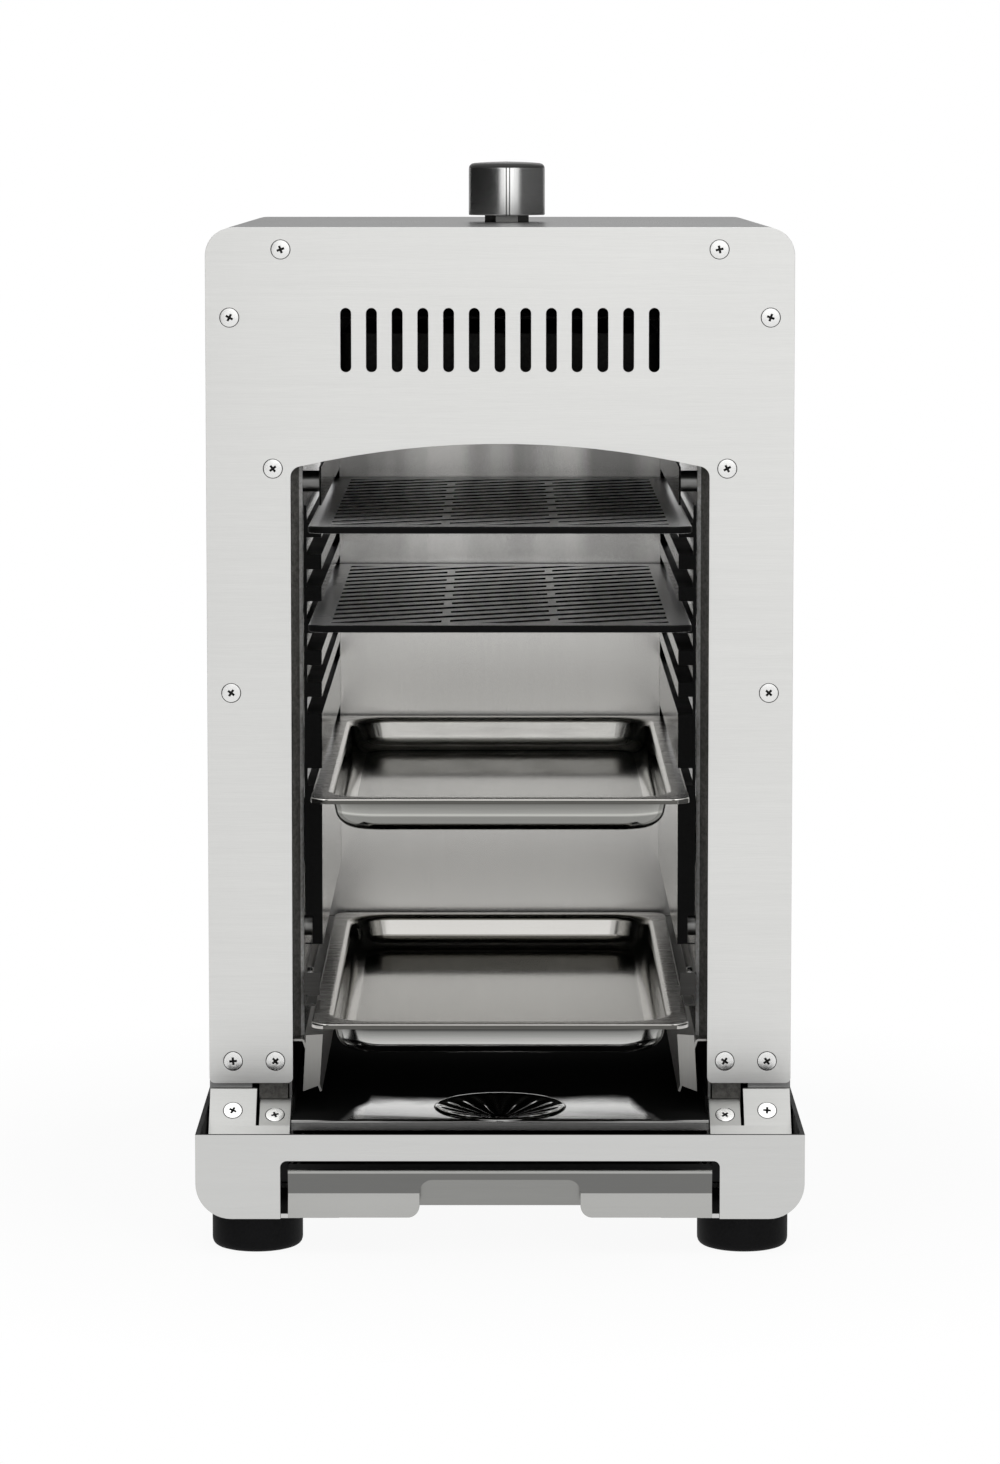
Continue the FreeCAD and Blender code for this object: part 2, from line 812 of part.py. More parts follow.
def slot_cutters(z0, z1):
    """Skewed slots clipped to a field, every other row broken by one of two bridges."""
    half = shelf_half - slot_margin_side
    near = shelf_front + slot_margin_end
    far = shelf_rear - slot_margin_end
    middle = (near + far) / 2
    slope = math.tan(math.radians(slot_skew))
    step = slot_pitch / math.cos(math.radians(slot_skew))
    height = slot_width / math.cos(math.radians(slot_skew))
    rows = int((far - near) / 2 / step + half * slope / step) + 1
    field = centred_box(half, near, far, z0 - 1, z1 + 1)
    cutters = []
    for row in range(-rows, rows + 1):
        centre = middle + row * step
        points = [(-half - 1, centre - slope * (half + 1) - height / 2),
                  (half + 1, centre + slope * (half + 1) - height / 2),
                  (half + 1, centre + slope * (half + 1) + height / 2),
                  (-half - 1, centre - slope * (half + 1) + height / 2)]
        strip = prism("z", points, z0 - 1, z1 + 1).common(field)
        bridge_x = bridge_offset if row % 2 else -bridge_offset
        bridge = box(bridge_x - bridge_width / 2, bridge_x + bridge_width / 2,
                     near - 1, far + 1, z0 - 2, z1 + 2)
        pieces = strip.cut(bridge).Solids
        cutters.extend(piece for piece in pieces if piece.Volume > slot_width * slot_width)
    return cutters


def build_grate(ledge):
    """Slotted sheet-steel grate with a low edge turned down all round."""
    bottom = ledge + seat_gap
    top = bottom + grate_lip
    block = rounded_plate(shelf_half, shelf_front, shelf_rear, shelf_corner_radius, bottom, top)
    rim = [edge for edge in block.Edges if edge.CenterOfMass.z > top - 0.01]
    block = block.makeFillet(grate_sheet * 0.8, rim)
    hollow = rounded_plate(shelf_half - grate_sheet, shelf_front + grate_sheet,
                           shelf_rear - grate_sheet, shelf_corner_radius - grate_sheet,
                           bottom - 1, top - grate_sheet)
    return block.cut([hollow] + slot_cutters(bottom, top))


def basin(inset, top, bottom):
    """The tapered body of a pan with a rounded bottom edge, as a closed solid."""
    radius = max(pan_bottom_radius - inset, 1.0)
    rim = pan_rim_width + inset
    sections = [(0.0, top)]
    angles = (0, 30, 60, 90)
    for angle in angles:
        drop = radius * math.sin(math.radians(angle))
        shift = pan_taper + radius * (1 - math.cos(math.radians(angle)))
        sections.append((shift, bottom + radius - drop))
    wires = []
    for shift, level in sections:
        corner = max(pan_corner_radius - inset - shift, 2.0)
        wires.append(rounded_rectangle(shelf_half - rim - shift, shelf_front + rim + shift,
                                       shelf_rear - rim - shift, corner, level))
    return Part.makeLoft(wires, True, True)


def build_pan(ledge):
    """Pressed pan with a flat rim and a lip turned down all round."""
    low = ledge + seat_gap
    top = low + pan_lip
    rim = rounded_plate(shelf_half, shelf_front, shelf_rear, shelf_corner_radius, low, top)
    edge_loop = [edge for edge in rim.Edges if edge.CenterOfMass.z > top - 0.01]
    rim = rim.makeFillet(pan_sheet * 1.2, edge_loop)
    hollow = rounded_plate(shelf_half - pan_sheet, shelf_front + pan_sheet, shelf_rear - pan_sheet,
                           shelf_corner_radius - pan_sheet, low - 1, top - pan_sheet)
    rim = rim.cut(hollow)
    body = basin(0.0, top, top - pan_depth)
    room = basin(pan_sheet, top + 0.001, top - pan_depth + pan_sheet)
    return rim.fuse(body).cut(room).removeSplitter()


# Base

def base_outline(inset, d0, d1, high):
    """The base frame's form with round lower corners, drawn in by a thickness."""
    half = base_half - inset
    low = base_bottom + inset
    radius = max(base_corner_radius - inset, 1.0)
    block = box(-half, half, d0, d1, low, high)
    return round_along(block, "d", radius, lambda middle: middle.z < low + 1)


def base_room():
    """Free space inside the base frame, for trimming what stands in it."""
    return base_outline(base_sheet, base_sheet, base_depth - base_sheet, housing_top)


def foot_places():
    """X and depth of the four feet."""
    x = base_half - foot_inset
    return [(side * x, d) for side in (-1, 1) for d in (foot_setback, base_depth - foot_setback)]


def build_base_frame():
    """Polished base frame: four walls and two floor strips, open for the drawer."""
    frame = base_outline(0, 0, base_depth, base_top)
    room = base_outline(base_sheet, base_sheet, base_depth - base_sheet, base_top + 1)
    floor_gap = centred_box(floor_gap_half, base_sheet, base_depth - base_sheet, base_bottom - 1,
                            floor_top + 1)
    mouth = centred_box(drawer_opening_half, -1, base_sheet + 0.001, base_bottom - 1,
                        base_bottom + drawer_opening_height)
    mouth = round_along(mouth, "d", drawer_opening_radius, lambda middle: middle.z > base_bottom + 1)
    cutters = [room, floor_gap, mouth]
    for x, d in foot_places():
        cutters.append(rod(plate_hole_radius, (x, d, base_bottom - 1), (x, d, floor_top + 1)))
    for x, z in base_screw_places():
        cutters.append(placed(screw_hole(pan_screw_shank, 8), (x, base_depth, z), (0, 1, 0)))
    return frame.cut(cutters)


def build_chassis():
    """Right chassis side: foot on the floor strip, web, top flange."""
    front = plate_rear + 1.5
    rear = back_liner_face
    top = liner_bottom - deflector_sheet
    path = [(chassis_face + chassis_foot, floor_top), (chassis_face, floor_top),
            (chassis_face, top), (chassis_face + chassis_foot - 1, top)]
    return bent_sheet("d", path[::-1], chassis_sheet, 0.6, front, rear)


def build_runner():
    """Right drawer runner: a channel on the floor strip that also carries the sump."""
    top = sump_top - sump_sheet
    path = [(chassis_face - runner_leg, floor_top), (chassis_face, floor_top),
            (chassis_face, top), (chassis_face - runner_leg, top)]
    front = porch_depth - 10
    return bent_sheet("d", path, runner_sheet, 0.6, front, back_liner_face)


def build_sump():
    """Sump floor with side and rear flanges, a front lip and the drain funnel."""
    half = chassis_face - 0.3
    front = porch_depth - sump_lip_setback
    floor_low = sump_top - sump_sheet
    path = [(back_liner_face, sump_top + sump_flange), (back_liner_face, floor_low),
            (front, floor_low), (front, sump_top - sump_lip_drop)]
    lip_path = [(back_liner_face - sump_sheet, sump_top), (front, sump_top),
                (front, sump_top - sump_lip_drop)]
    floor = bent_sheet("x", lip_path, sump_sheet, 0.6, -half, half)
    rear = centred_box(half, back_liner_face - sump_sheet, back_liner_face, floor_low,
                       sump_top + sump_flange)
    sides = both_sides(box(half - sump_sheet, half, plate_rear + 1.5, back_liner_face, floor_low,
                           sump_top + sump_flange))
    mouth = funnel_diameter / 2
    drain = drain_diameter / 2
    cone_top = Part.makeCone(drain + sump_sheet, mouth + sump_sheet, funnel_depth,
                             Vector(0, funnel_d, floor_low - funnel_depth))
    cone_room = Part.makeCone(drain, mouth, funnel_depth, Vector(0, funnel_d, sump_top - funnel_depth))
    bore = rod(drain, (0, funnel_d, floor_low - funnel_depth - 2), (0, funnel_d, sump_top))
    mouth_hole = rod(mouth, (0, funnel_d, floor_low - 1), (0, funnel_d, sump_top + 1))
    sheet = fused([floor, rear] + sides).cut(mouth_hole)
    cone = cone_top.fuse(rod(mouth + sump_sheet, (0, funnel_d, floor_low), (0, funnel_d, sump_top)))
    cone = cone.cut([cone_room, bore])
    return sheet.fuse(cone).removeSplitter()


def build_deflector():
    """Right drip deflector: seat on the chassis, slope towards the sump, front tab."""
    top = liner_bottom
    low = top - deflector_drop
    inner = liner_face - deflector_reach
    path = [(inner, low), (liner_face, top), (chassis_face + chassis_foot - 1, top)]
    front = rack_front - 3
    slope = bent_sheet("d", path[::-1], deflector_sheet, 0.6, front, back_liner_face - 1)
    tab_points = [(rack_face, top + 2.5), (liner_face - 1, top + 2), (liner_face + 0.5, low),
                  (rack_face + 1.5, low + 3)]
    tab = prism("d", tab_points, front - deflector_sheet, front)
    return fused([slope, tab])


def flap_line(angle, x_side):
    """Depth and height of a flap's face from its landing down to the strip's end."""
    fold_d = porch_depth - corner_fold_setback
    fold_z = base_top - corner_fold_height
    strip = math.radians(corner_strip_angle)
    rise = math.tan(math.radians(angle)) * corner_fold_setback
    end = (fold_d - corner_strip_length * math.cos(strip), fold_z - corner_strip_length * math.sin(strip))
    return [(plate_rear, fold_z + rise), (porch_depth, fold_z + rise), (fold_d, fold_z), end]


def corner_spans():
    """Inner edge, slot edges and outer edge of a corner plate in X."""
    inner = chassis_face + 0.3
    outer = base_inner_half - 1.0
    slot_outer = outer - (outer - inner) * outer_flap_part
    return inner, slot_outer - flap_slot_width, slot_outer, outer


def corner_screws():
    """X, angle of the flap and place of the screw on each flap."""
    inner, slot_inner, slot_outer, outer = corner_spans()
    fold_d = porch_depth - corner_fold_setback
    fold_z = base_top - corner_fold_height
    places = []
    for x, angle in (((inner + slot_inner) / 2, inner_flap_angle), ((slot_outer + outer) / 2,
                                                                    outer_flap_angle)):
        d = porch_depth - corner_screw_setback
        z = fold_z + (d - fold_d) * math.tan(math.radians(angle))
        places.append((x, angle, d, z))
    return places


def flap_normal(angle):
    """Direction that a flap faces."""
    return (0, -math.sin(math.radians(angle)), math.cos(math.radians(angle)))


def corner_sinks():
    """Countersunk holes through a corner plate and its posts."""
    sinks = []
    for x, angle, d, z in corner_screws():
        sink = countersink(plate_screw_head, plate_screw_shank, corner_screw_length)
        sinks.append(placed(sink, (x, d, z), flap_normal(angle)))
    return sinks


def build_corner_plate():
    """Right corner plate: one sheet with two flaps at different slopes."""
    inner, slot_inner, slot_outer, outer = corner_spans()
    inner_line = flap_line(inner_flap_angle, inner)
    outer_line = flap_line(outer_flap_angle, outer)
    inner_flap = bent_sheet("x", inner_line, corner_sheet, 0.6, inner, slot_inner)
    outer_flap = bent_sheet("x", outer_line, corner_sheet, 0.6, slot_outer, outer)
    strip = bent_sheet("x", outer_line[2:], corner_sheet, 0.6, inner, outer)
    plate = fused([inner_flap, outer_flap, strip])
    room = base_outline(base_sheet + 0.3, base_sheet, base_depth, housing_top)
    return plate.common(room).cut(corner_sinks())


def build_corner_posts():
    """Threaded posts on the floor strip under the flaps."""
    fold_d = porch_depth - corner_fold_setback
    fold_z = base_top - corner_fold_height
    posts = []
    for x, angle, d, z in corner_screws():
        near = fold_d + 2.0
        far = near + post_length
        slope = math.tan(math.radians(angle))
        sheet_height = corner_sheet / math.cos(math.radians(angle))
        tops = [fold_z + (depth - fold_d) * slope - sheet_height for depth in (near, far)]
        points = [(near, floor_top), (far, floor_top), (far, tops[1]), (near, tops[0])]
        post = prism("x", points, x - post_width / 2, x + post_width / 2)
        posts.append(post.common(base_room()).cut(corner_sinks()))
    return posts


def build_corner_screws():
    """Countersunk screws that hold a corner plate to its posts."""
    screw = countersunk_screw(plate_screw_head, plate_screw_shank, corner_screw_length)
    return [placed(screw, (x, d, z), flap_normal(angle), recess_turn * (index + 1))
            for index, (x, angle, d, z) in enumerate(corner_screws())]


# Feet

def build_foot(x, d):
    """Rubber foot with a recess for its screw."""
    foot = rod(foot_diameter / 2, (x, d, 0), (x, d, foot_height))
    rim = [edge for edge in foot.Edges if edge.CenterOfMass.z < 0.01 and edge.Length > foot_diameter]
    foot = foot.makeFillet(foot_edge_radius, rim)
    recess = rod(foot_recess_diameter / 2, (x, d, -1), (x, d, foot_recess_depth))
    hole = rod(plate_hole_radius, (x, d, 0), (x, d, foot_height + 1))
    return foot.cut([recess, hole])


def build_foot_screws():
    """Screws up through the feet into nuts on the floor strips."""
    length = floor_top + foot_nut_height + 1 - foot_recess_depth
    screw = pan_screw(foot_screw_head, foot_screw_head_height, plate_screw_shank, length)
    return [placed(screw, (x, d, foot_recess_depth), (0, 0, -1)) for x, d in foot_places()]


def build_foot_nuts():
    """Hexagon nuts of the feet."""
    nuts = []
    for x, d in foot_places():
        nut = hexagon("z", (x, d), foot_nut_flats, floor_top, floor_top + foot_nut_height)
        hole = rod(plate_screw_shank / 2 + running_clearance, (x, d, floor_top - 1),
                   (x, d, floor_top + foot_nut_height + 1))
        nuts.append(nut.cut(hole))
    return nuts


# Drawer

def build_drawer():
    """Drip drawer: folded front with a finger notch, and a shallow tray behind it."""
    low = base_bottom + drawer_front_drop
    top = low + drawer_front_height
    crease = low + drawer_crease_height
    tray_low = floor_top + runner_sheet + seat_gap
    path = [(0, low), (drawer_crease_depth, crease), (0, top), (drawer_finger_room + drawer_sheet, top),
            (drawer_finger_room + drawer_sheet, tray_low)]
    front = bent_sheet("x", path[::-1], drawer_sheet, 0.6, -drawer_front_half, drawer_front_half)
    side_trims = both_sides(box(tray_half, drawer_front_half + 1, drawer_finger_room - 2,
                                drawer_finger_room + drawer_sheet + 1, tray_low - 1, top - 2.5))
    front = front.cut(side_trims)
    notch = centred_box(notch_width / 2, -1, drawer_finger_room - 3, low - 1, low + notch_height)
    notch = round_along(notch, "d", notch_radius, lambda middle: middle.z > low + 1)
    below = centred_box(notch_width, -1, drawer_finger_room - 3, low - 1, low + 0.1)
    notch = round_along(fused([notch, below]), "d", notch_radius * 0.9,
                        lambda middle: abs(abs(middle.x) - notch_width / 2) < 0.2
                        and middle.z > low)
    front = front.cut(notch)
    tray = centred_box(tray_half, drawer_finger_room, drawer_length, tray_low,
                       tray_low + drawer_wall_height)
    tray_room = centred_box(tray_half - drawer_sheet, drawer_finger_room + drawer_sheet,
                            drawer_length - drawer_sheet, tray_low + drawer_sheet,
                            tray_low + drawer_wall_height + 1)
    return fused([front, tray.cut(tray_room)])


# Burner

def burner_box(half_x, half_d, z0, z1):
    """A block centred on the burner."""
    return centred_box(half_x, burner_d - half_d, burner_d + half_d, z0, z1)


def build_deck():
    """Deck over the cavity with the burner opening and two sensor holes."""
    deck = centred_box(liner_flange_edge, plate_rear + liner_sheet, back_liner_face + liner_rear_flange,
                       deck_bottom, deck_top)
    mouth = burner_box(burner_half_x - deck_lap, burner_half_d - deck_lap, deck_bottom - 1, deck_top + 1)
    holes = [rod(sensor_diameter / 2 + 0.2, (x, sensor_d, deck_bottom - 1), (x, sensor_d, deck_top + 1))
             for x in (-sensor_offset, sensor_offset)]
    return deck.cut([mouth] + holes)


def build_burner_housing():
    """Pressed mixture box with a seat flange and the hole for the mixing tube."""
    outer_x = burner_half_x + burner_sheet
    outer_d = burner_half_d + burner_sheet
    shell = burner_box(outer_x, outer_d, deck_top, burner_top)
    shell = round_along(shell, "z", 8.0, lambda middle: True)
    flange = burner_box(outer_x + burner_flange, outer_d + burner_flange, deck_top,
                        deck_top + burner_sheet)
    room = burner_box(burner_half_x, burner_half_d, deck_top - 1, burner_top - burner_sheet)
    room = round_along(room, "z", 6.8, lambda middle: True)
    hole = rod(mixing_tube_diameter / 2 + running_clearance, (0, burner_d, jet_z),
               (0, burner_d + outer_d + 1, jet_z))
    return fused([shell, flange]).cut([room, hole])


def build_tile_frame():
    """Frame that carries the ceramic tiles by their edges."""
    ring = burner_box(burner_half_x - 0.2, burner_half_d - 0.2, deck_top, deck_top + burner_sheet)
    ring = round_along(ring, "z", 6.8, lambda middle: True)
    mouth = burner_box(tile_length / 2 - tile_bite, tiles_half_d - tile_bite, deck_top - 1,
                       deck_top + burner_sheet + 1)
    return ring.cut(mouth)


def build_tiles():
    """Two ceramic radiant tiles."""
    low = deck_top + burner_sheet
    tiles = []
    for side in (-1, 1):
        ends = sorted((side * tile_gap / 2, side * tiles_half_d))
        tiles.append(box(-tile_length / 2, tile_length / 2, burner_d + ends[0], burner_d + ends[1],
                         low, low + tile_thickness))
    return tiles


def build_gasket():
    """Fibre gasket between the tiles and the mixture box."""
    low = deck_top + burner_sheet
    ring = burner_box(burner_half_x, burner_half_d, low, low + gasket_height)
    ring = round_along(ring, "z", 6.8, lambda middle: True)
    return ring.cut(burner_box(tile_length / 2, tiles_half_d, low - 1, low + gasket_height + 1))


def build_shield():
    """Heat shield over the mixture box, standing on the deck."""
    half = burner_half_x + shield_leg_gap
    top = burner_top + shield_gap
    path = [(half + 10, deck_top), (half, deck_top), (half, top), (-half, top), (-half, deck_top),
            (-half - 10, deck_top)]
    return bent_sheet("d", path[::-1], shield_sheet, 1.0, burner_d - shield_length / 2,
                      burner_d + shield_length / 2)


def build_mixing_tube():
    """Mixing tube from the mixture box to its flared mouth behind the burner."""
    start = burner_d + burner_half_d - 2
    end = burner_d + burner_half_d + burner_sheet + mixing_tube_length
    outer = mixing_tube_diameter / 2
    inner = outer - mixing_tube_wall
    tube = rod(outer, (0, start, jet_z), (0, end, jet_z))
    flare = Part.makeCone(outer, outer + mixing_mouth_flare, mixing_mouth_length,
                          Vector(0, end, jet_z), AXES["d"])
    room = rod(inner, (0, start - 1, jet_z), (0, end, jet_z))
    flare_room = Part.makeCone(inner, inner + mixing_mouth_flare, mixing_mouth_length,
                               Vector(0, end, jet_z), AXES["d"])
    return tube.fuse(flare).cut([room, flare_room])


def build_jet_holder():
    """Brass block on the rear cover that holds the jet and takes the gas pipe."""
    half = jet_block_size / 2
    block = box(-half, half, jet_block_front, cover_front, jet_z - half, jet_z + half)
    side_bore = rod(pipe_diameter / 2 - pipe_wall, (-half - 1, jet_pipe_d, jet_z), (0, jet_pipe_d, jet_z))
    axial_bore = rod(jet_diameter / 4, (0, jet_block_front - 1, jet_z), (0, jet_pipe_d, jet_z))
    return block.cut([side_bore, axial_bore])


def build_jet():
    """Brass jet in front of the block."""
    front = jet_block_front - jet_length
    hexed = hexagon("d", (0, jet_z), jet_diameter, jet_block_front - jet_length * 0.6, jet_block_front)
    nose = Part.makeCone(jet_diameter * 0.25, jet_diameter * 0.45, jet_length * 0.4,
                         Vector(0, front, jet_z), AXES["d"])
    bore = rod(jet_bore / 2, (0, front - 1, jet_z), (0, jet_block_front + 1, jet_z))
    return hexed.fuse(nose).cut(bore)


def hollow_pipe(points):
    """A gas pipe with its bore."""
    outer = pipe(pipe_diameter / 2, points, pipe_bend)
    inner = pipe(pipe_diameter / 2 - pipe_wall, points, pipe_bend)
    return outer.cut(inner)


def build_gas_pipe():
    """Pipe from the valve's outlet to the jet block."""
    x = knob_offset - valve_diameter / 2 - port_length
    turn_x = x - pipe_reach
    points = [(x, knob_d, port_z), (turn_x, knob_d, port_z), (turn_x, jet_pipe_d, port_z),
              (turn_x, jet_pipe_d, jet_z), (-jet_block_size / 2, jet_pipe_d, jet_z)]
    return hollow_pipe(points)


def build_inlet_pipe():
    """Pipe from the gas inlet to the valve."""
    x = knob_offset + valve_diameter / 2 + port_length
    end = housing_rear - inlet_shank_length
    return hollow_pipe([(x, knob_d, port_z), (inlet_x, knob_d, port_z), (inlet_x, end, port_z)])


def build_inlet():
    """Gas inlet nipple: shank through the cover, hexagon and outside thread."""
    shank = rod(inlet_shank_diameter / 2, (inlet_x, housing_rear - inlet_shank_length, port_z),
                (inlet_x, housing_rear, port_z))
    flats = hexagon("d", (inlet_x, port_z), inlet_hex_flats, housing_rear,
                    housing_rear + inlet_hex_height)
    thread = rod(inlet_thread_diameter / 2, (inlet_x, housing_rear + inlet_hex_height, port_z),
                 (inlet_x, inlet_end, port_z))
    bore = rod(inlet_bore / 2, (inlet_x, housing_rear - inlet_shank_length, port_z),
               (inlet_x, inlet_end, port_z))
    return shank.fuse([flats, thread]).cut(bore)


def build_inlet_nut():
    """Lock nut of the gas inlet inside the rear cover."""
    nut = hexagon("d", (inlet_x, port_z), inlet_hex_flats + 2, cover_front - inlet_nut_height, cover_front)
    return nut.cut(rod(inlet_shank_diameter / 2 + running_clearance,
                       (inlet_x, cover_front - inlet_nut_height - 1, port_z),
                       (inlet_x, cover_front + 1, port_z)))


# Valve and knob

def valve_rod(diameter, z0, z1):
    """A round bar on the valve's axis."""
    return rod(diameter / 2, (0, knob_d, z0), (0, knob_d, z1))


def build_valve_body():
    """Brass valve body hung from the roof, with inlet, outlet and sensor ports."""
    body = valve_rod(valve_diameter, valve_bottom, neck_bottom)
    neck = valve_rod(valve_neck_diameter, neck_bottom, roof_bottom)
    bush = valve_rod(bush_diameter, roof_bottom, bush_top)
    reach = valve_diameter / 2 + port_length
    ports = [rod(port_diameter / 2, (-reach, knob_d, port_z), (reach, knob_d, port_z))]
    ports.append(rod(port_diameter / 2, (0, knob_d - reach, port_z), (0, knob_d, port_z)))
    plug_room = valve_rod(plug_diameter + 2 * running_clearance, valve_bottom, plug_top + 0.3)
    stem_room = valve_rod(stem_diameter + 2 * running_clearance, valve_bottom, neck_bottom)
    chamber = valve_rod(chamber_diameter, neck_bottom, bush_top)
    bore = rod(pipe_diameter / 2 - pipe_wall, (-reach - 1, knob_d, port_z), (reach + 1, knob_d, port_z))
    return fused([body, neck, bush] + ports).cut([plug_room, stem_room, chamber, bore])


def build_valve_plug():
    """Rotating plug with its gas passage and the socket for the stem."""
    plug = valve_rod(plug_diameter, valve_bottom + 0.3, plug_top)
    socket = valve_rod(stem_diameter + 2 * running_clearance, stem_bottom - push_travel - 0.5,
                       plug_top + 1)
    return plug.cut(socket)


def build_stem():
    """Stem that turns the plug and slides in it, with a collar over the spring."""
    stem = valve_rod(stem_diameter, stem_bottom, stem_top)
    collar = valve_rod(collar_diameter, collar_bottom, collar_bottom + collar_height)
    flat = box(-stem_diameter, stem_diameter, knob_d + stem_diameter * 0.33, knob_d + stem_diameter,
               knob_bottom + knob_cavity_depth, stem_top + 1)
    return stem.fuse(collar).cut(flat).removeSplitter()


def biarc(start, start_way, end, end_way):
    """Two arcs that join two points with given directions."""
    chord = end - start
    both = start_way + end_way
    along = chord.dot(both)
    gap = 2 * (1 - start_way.dot(end_way))
    reach = (-along + math.sqrt(along * along + gap * chord.dot(chord))) / gap
    first = start + start_way * reach
    last = end - end_way * reach
    joint = (first + last) * 0.5
    return [tangent_arc(start, start_way, joint), tangent_arc(end, end_way * -1, joint)]


def tangent_arc(start, way, end):
    """The arc that leaves a point in a direction and reaches another point."""
    chord = end - start
    across = (chord - way * chord.dot(way)).normalize()
    radius = chord.dot(chord) / (2 * chord.dot(across))
    centre = start + across * radius
    outward = ((start + end) * 0.5 - centre).normalize()
    return Part.Arc(start, centre + outward * radius, end).toShape()


def build_spring():
    """Compression spring between the valve's neck and the stem's collar."""
    low = neck_bottom + 0.2 + spring_wire / 2
    high = collar_bottom - 0.2 - spring_wire / 2
    radius = (chamber_diameter + stem_diameter) / 4
    climb = (high - low) / spring_turns / (2 * math.pi)
    quarter = math.pi / 2

    def point(angle):
        return Vector(radius * math.cos(angle), knob_d + radius * math.sin(angle), low + climb * angle)

    def way(angle):
        return Vector(-radius * math.sin(angle), radius * math.cos(angle), climb).normalize()

    edges = []
    for step in range(4 * spring_turns):
        start = step * quarter
        arcs = biarc(point(start), way(start), point(start + quarter), way(start + quarter))
        edges.extend(arcs)
    samples = [point(step * quarter / 4) for step in range(16 * spring_turns + 1)]
    gaps = [(samples[later] - samples[first]).Length - spring_wire
            for first in range(len(samples)) for later in range(first + 8, len(samples))]
    print("knob_spring: least gap to itself %.2f mm" % min(gaps))
    path = Part.Wire(Part.__sortEdges__(edges))
    ring = Part.Wire(Part.makeCircle(spring_wire / 2, point(0), way(0)))
    return path.makePipeShell([ring], True, False)


def build_knob():
    """Round control knob, slightly crowned, with a pointer groove at the front."""
    radius = knob_diameter / 2
    body = valve_rod(knob_diameter, knob_bottom, knob_top - knob_crown)
    rise = knob_crown
    sphere_radius = (radius * radius + rise * rise) / (2 * rise)
    crown = Part.makeSphere(sphere_radius, Vector(0, knob_d, knob_top - sphere_radius))
    crown = crown.common(valve_rod(knob_diameter, knob_top - knob_crown, knob_top + 1))
    body = fused([body, crown])
    rim = [edge for edge in body.Edges if abs(edge.CenterOfMass.z - (knob_top - knob_crown)) < 0.1
           and edge.Length > knob_diameter]
    body = body.makeFillet(knob_edge_radius, rim)
    cavity = valve_rod(knob_cavity_diameter, knob_bottom, knob_bottom + knob_cavity_depth)
    bore = valve_rod(stem_diameter + 2 * running_clearance, knob_bottom, stem_top + 0.5)
    flat = box(-stem_diameter, stem_diameter, knob_d + stem_diameter * 0.33 + running_clearance,
               knob_d + stem_diameter, knob_bottom + knob_cavity_depth, stem_top + 1)
    groove = box(-pointer_width / 2, pointer_width / 2, knob_d - radius - 1,
                 knob_d - radius + pointer_depth, knob_bottom - 1, knob_top - knob_edge_radius)
    grub = rod(pan_screw_shank / 2 + running_clearance, (0, knob_d, grub_z), (0, knob_d + radius + 1, grub_z))
    return body.cut([cavity, bore.cut(flat), groove, grub])


def build_grub_screw():
    """Grub screw that clamps the knob on the flat of the stem."""
    start = knob_d + stem_diameter * 0.33
    return rod(pan_screw_shank / 2, (0, start, grub_z), (0, start + 10, grub_z))


def build_valve_nut():
    """Nut that holds the valve to the roof."""
    nut = hexagon("z", (0, knob_d), valve_nut_flats, housing_top, housing_top + valve_nut_height)
    return nut.cut(valve_rod(bush_diameter + 2 * running_clearance, housing_top - 1,
                             housing_top + valve_nut_height + 1))


def build_igniter():
    """Spark unit under the roof."""
    return box(-sensor_offset - igniter_width / 2, -sensor_offset + igniter_width / 2,
               knob_d - igniter_gap - igniter_length, knob_d - igniter_gap,
               port_z - igniter_width / 2, roof_bottom)


def build_electrode():
    """Ignition electrode: ceramic body with a collar, and its wire tip."""
    x = -sensor_offset
    low = deck_bottom - 2
    body = rod(sensor_diameter / 2, (x, sensor_d, low), (x, sensor_d, deck_top + sensor_rise))
    collar = rod(sensor_collar_diameter / 2, (x, sensor_d, deck_top),
                 (x, sensor_d, deck_top + sensor_collar_height))
    tip = rod(tip_diameter / 2, (x, sensor_d, low - tip_length), (x, sensor_d, low))
    return [fused([body, collar]), tip]


def build_thermocouple():
    """Flame sensor with its collar on the deck."""
    x = sensor_offset
    low = deck_bottom - sensor_reach
    body = rod(sensor_diameter / 2, (x, sensor_d, low), (x, sensor_d, deck_top + sensor_rise))
    collar = rod(sensor_collar_diameter / 2, (x, sensor_d, deck_top),
                 (x, sensor_d, deck_top + sensor_collar_height))
    return fused([body, collar])


def build_ignition_lead():
    """Lead from the spark unit to the electrode."""
    x = -sensor_offset
    return pipe(lead_diameter / 2, [(x, sensor_d, deck_top + sensor_rise), (x, sensor_d, port_z),
                                    (x, knob_d - igniter_gap - igniter_length, port_z)], lead_bend)


def build_sensor_lead():
    """Lead from the flame sensor to the valve's front port."""
    x = sensor_offset
    port = knob_d - valve_diameter / 2 - port_length
    return pipe(lead_diameter / 2, [(x, sensor_d, deck_top + sensor_rise), (x, sensor_d, port_z),
                                    (knob_offset, sensor_d, port_z), (knob_offset, port, port_z)],
                lead_bend)


# Places that depend on several groups

knob_d = porch_depth + knob_setback
roof_bottom = housing_top - housing_sheet
neck_bottom = roof_bottom - valve_neck_height
valve_bottom = neck_bottom - valve_body_height
port_z = valve_bottom + valve_body_height / 2
bush_top = housing_top + bush_rise
plug_top = neck_bottom - plug_roof
stem_bottom = valve_bottom + push_travel + 4.0
knob_bottom = housing_top + knob_lift
knob_top = knob_bottom + knob_height
stem_top = knob_top - 4.0
grub_z = (knob_bottom + knob_cavity_depth + stem_top) / 2
collar_bottom = housing_top + 1.5
inlet_x = knob_offset + valve_diameter / 2 + port_length + pipe_reach

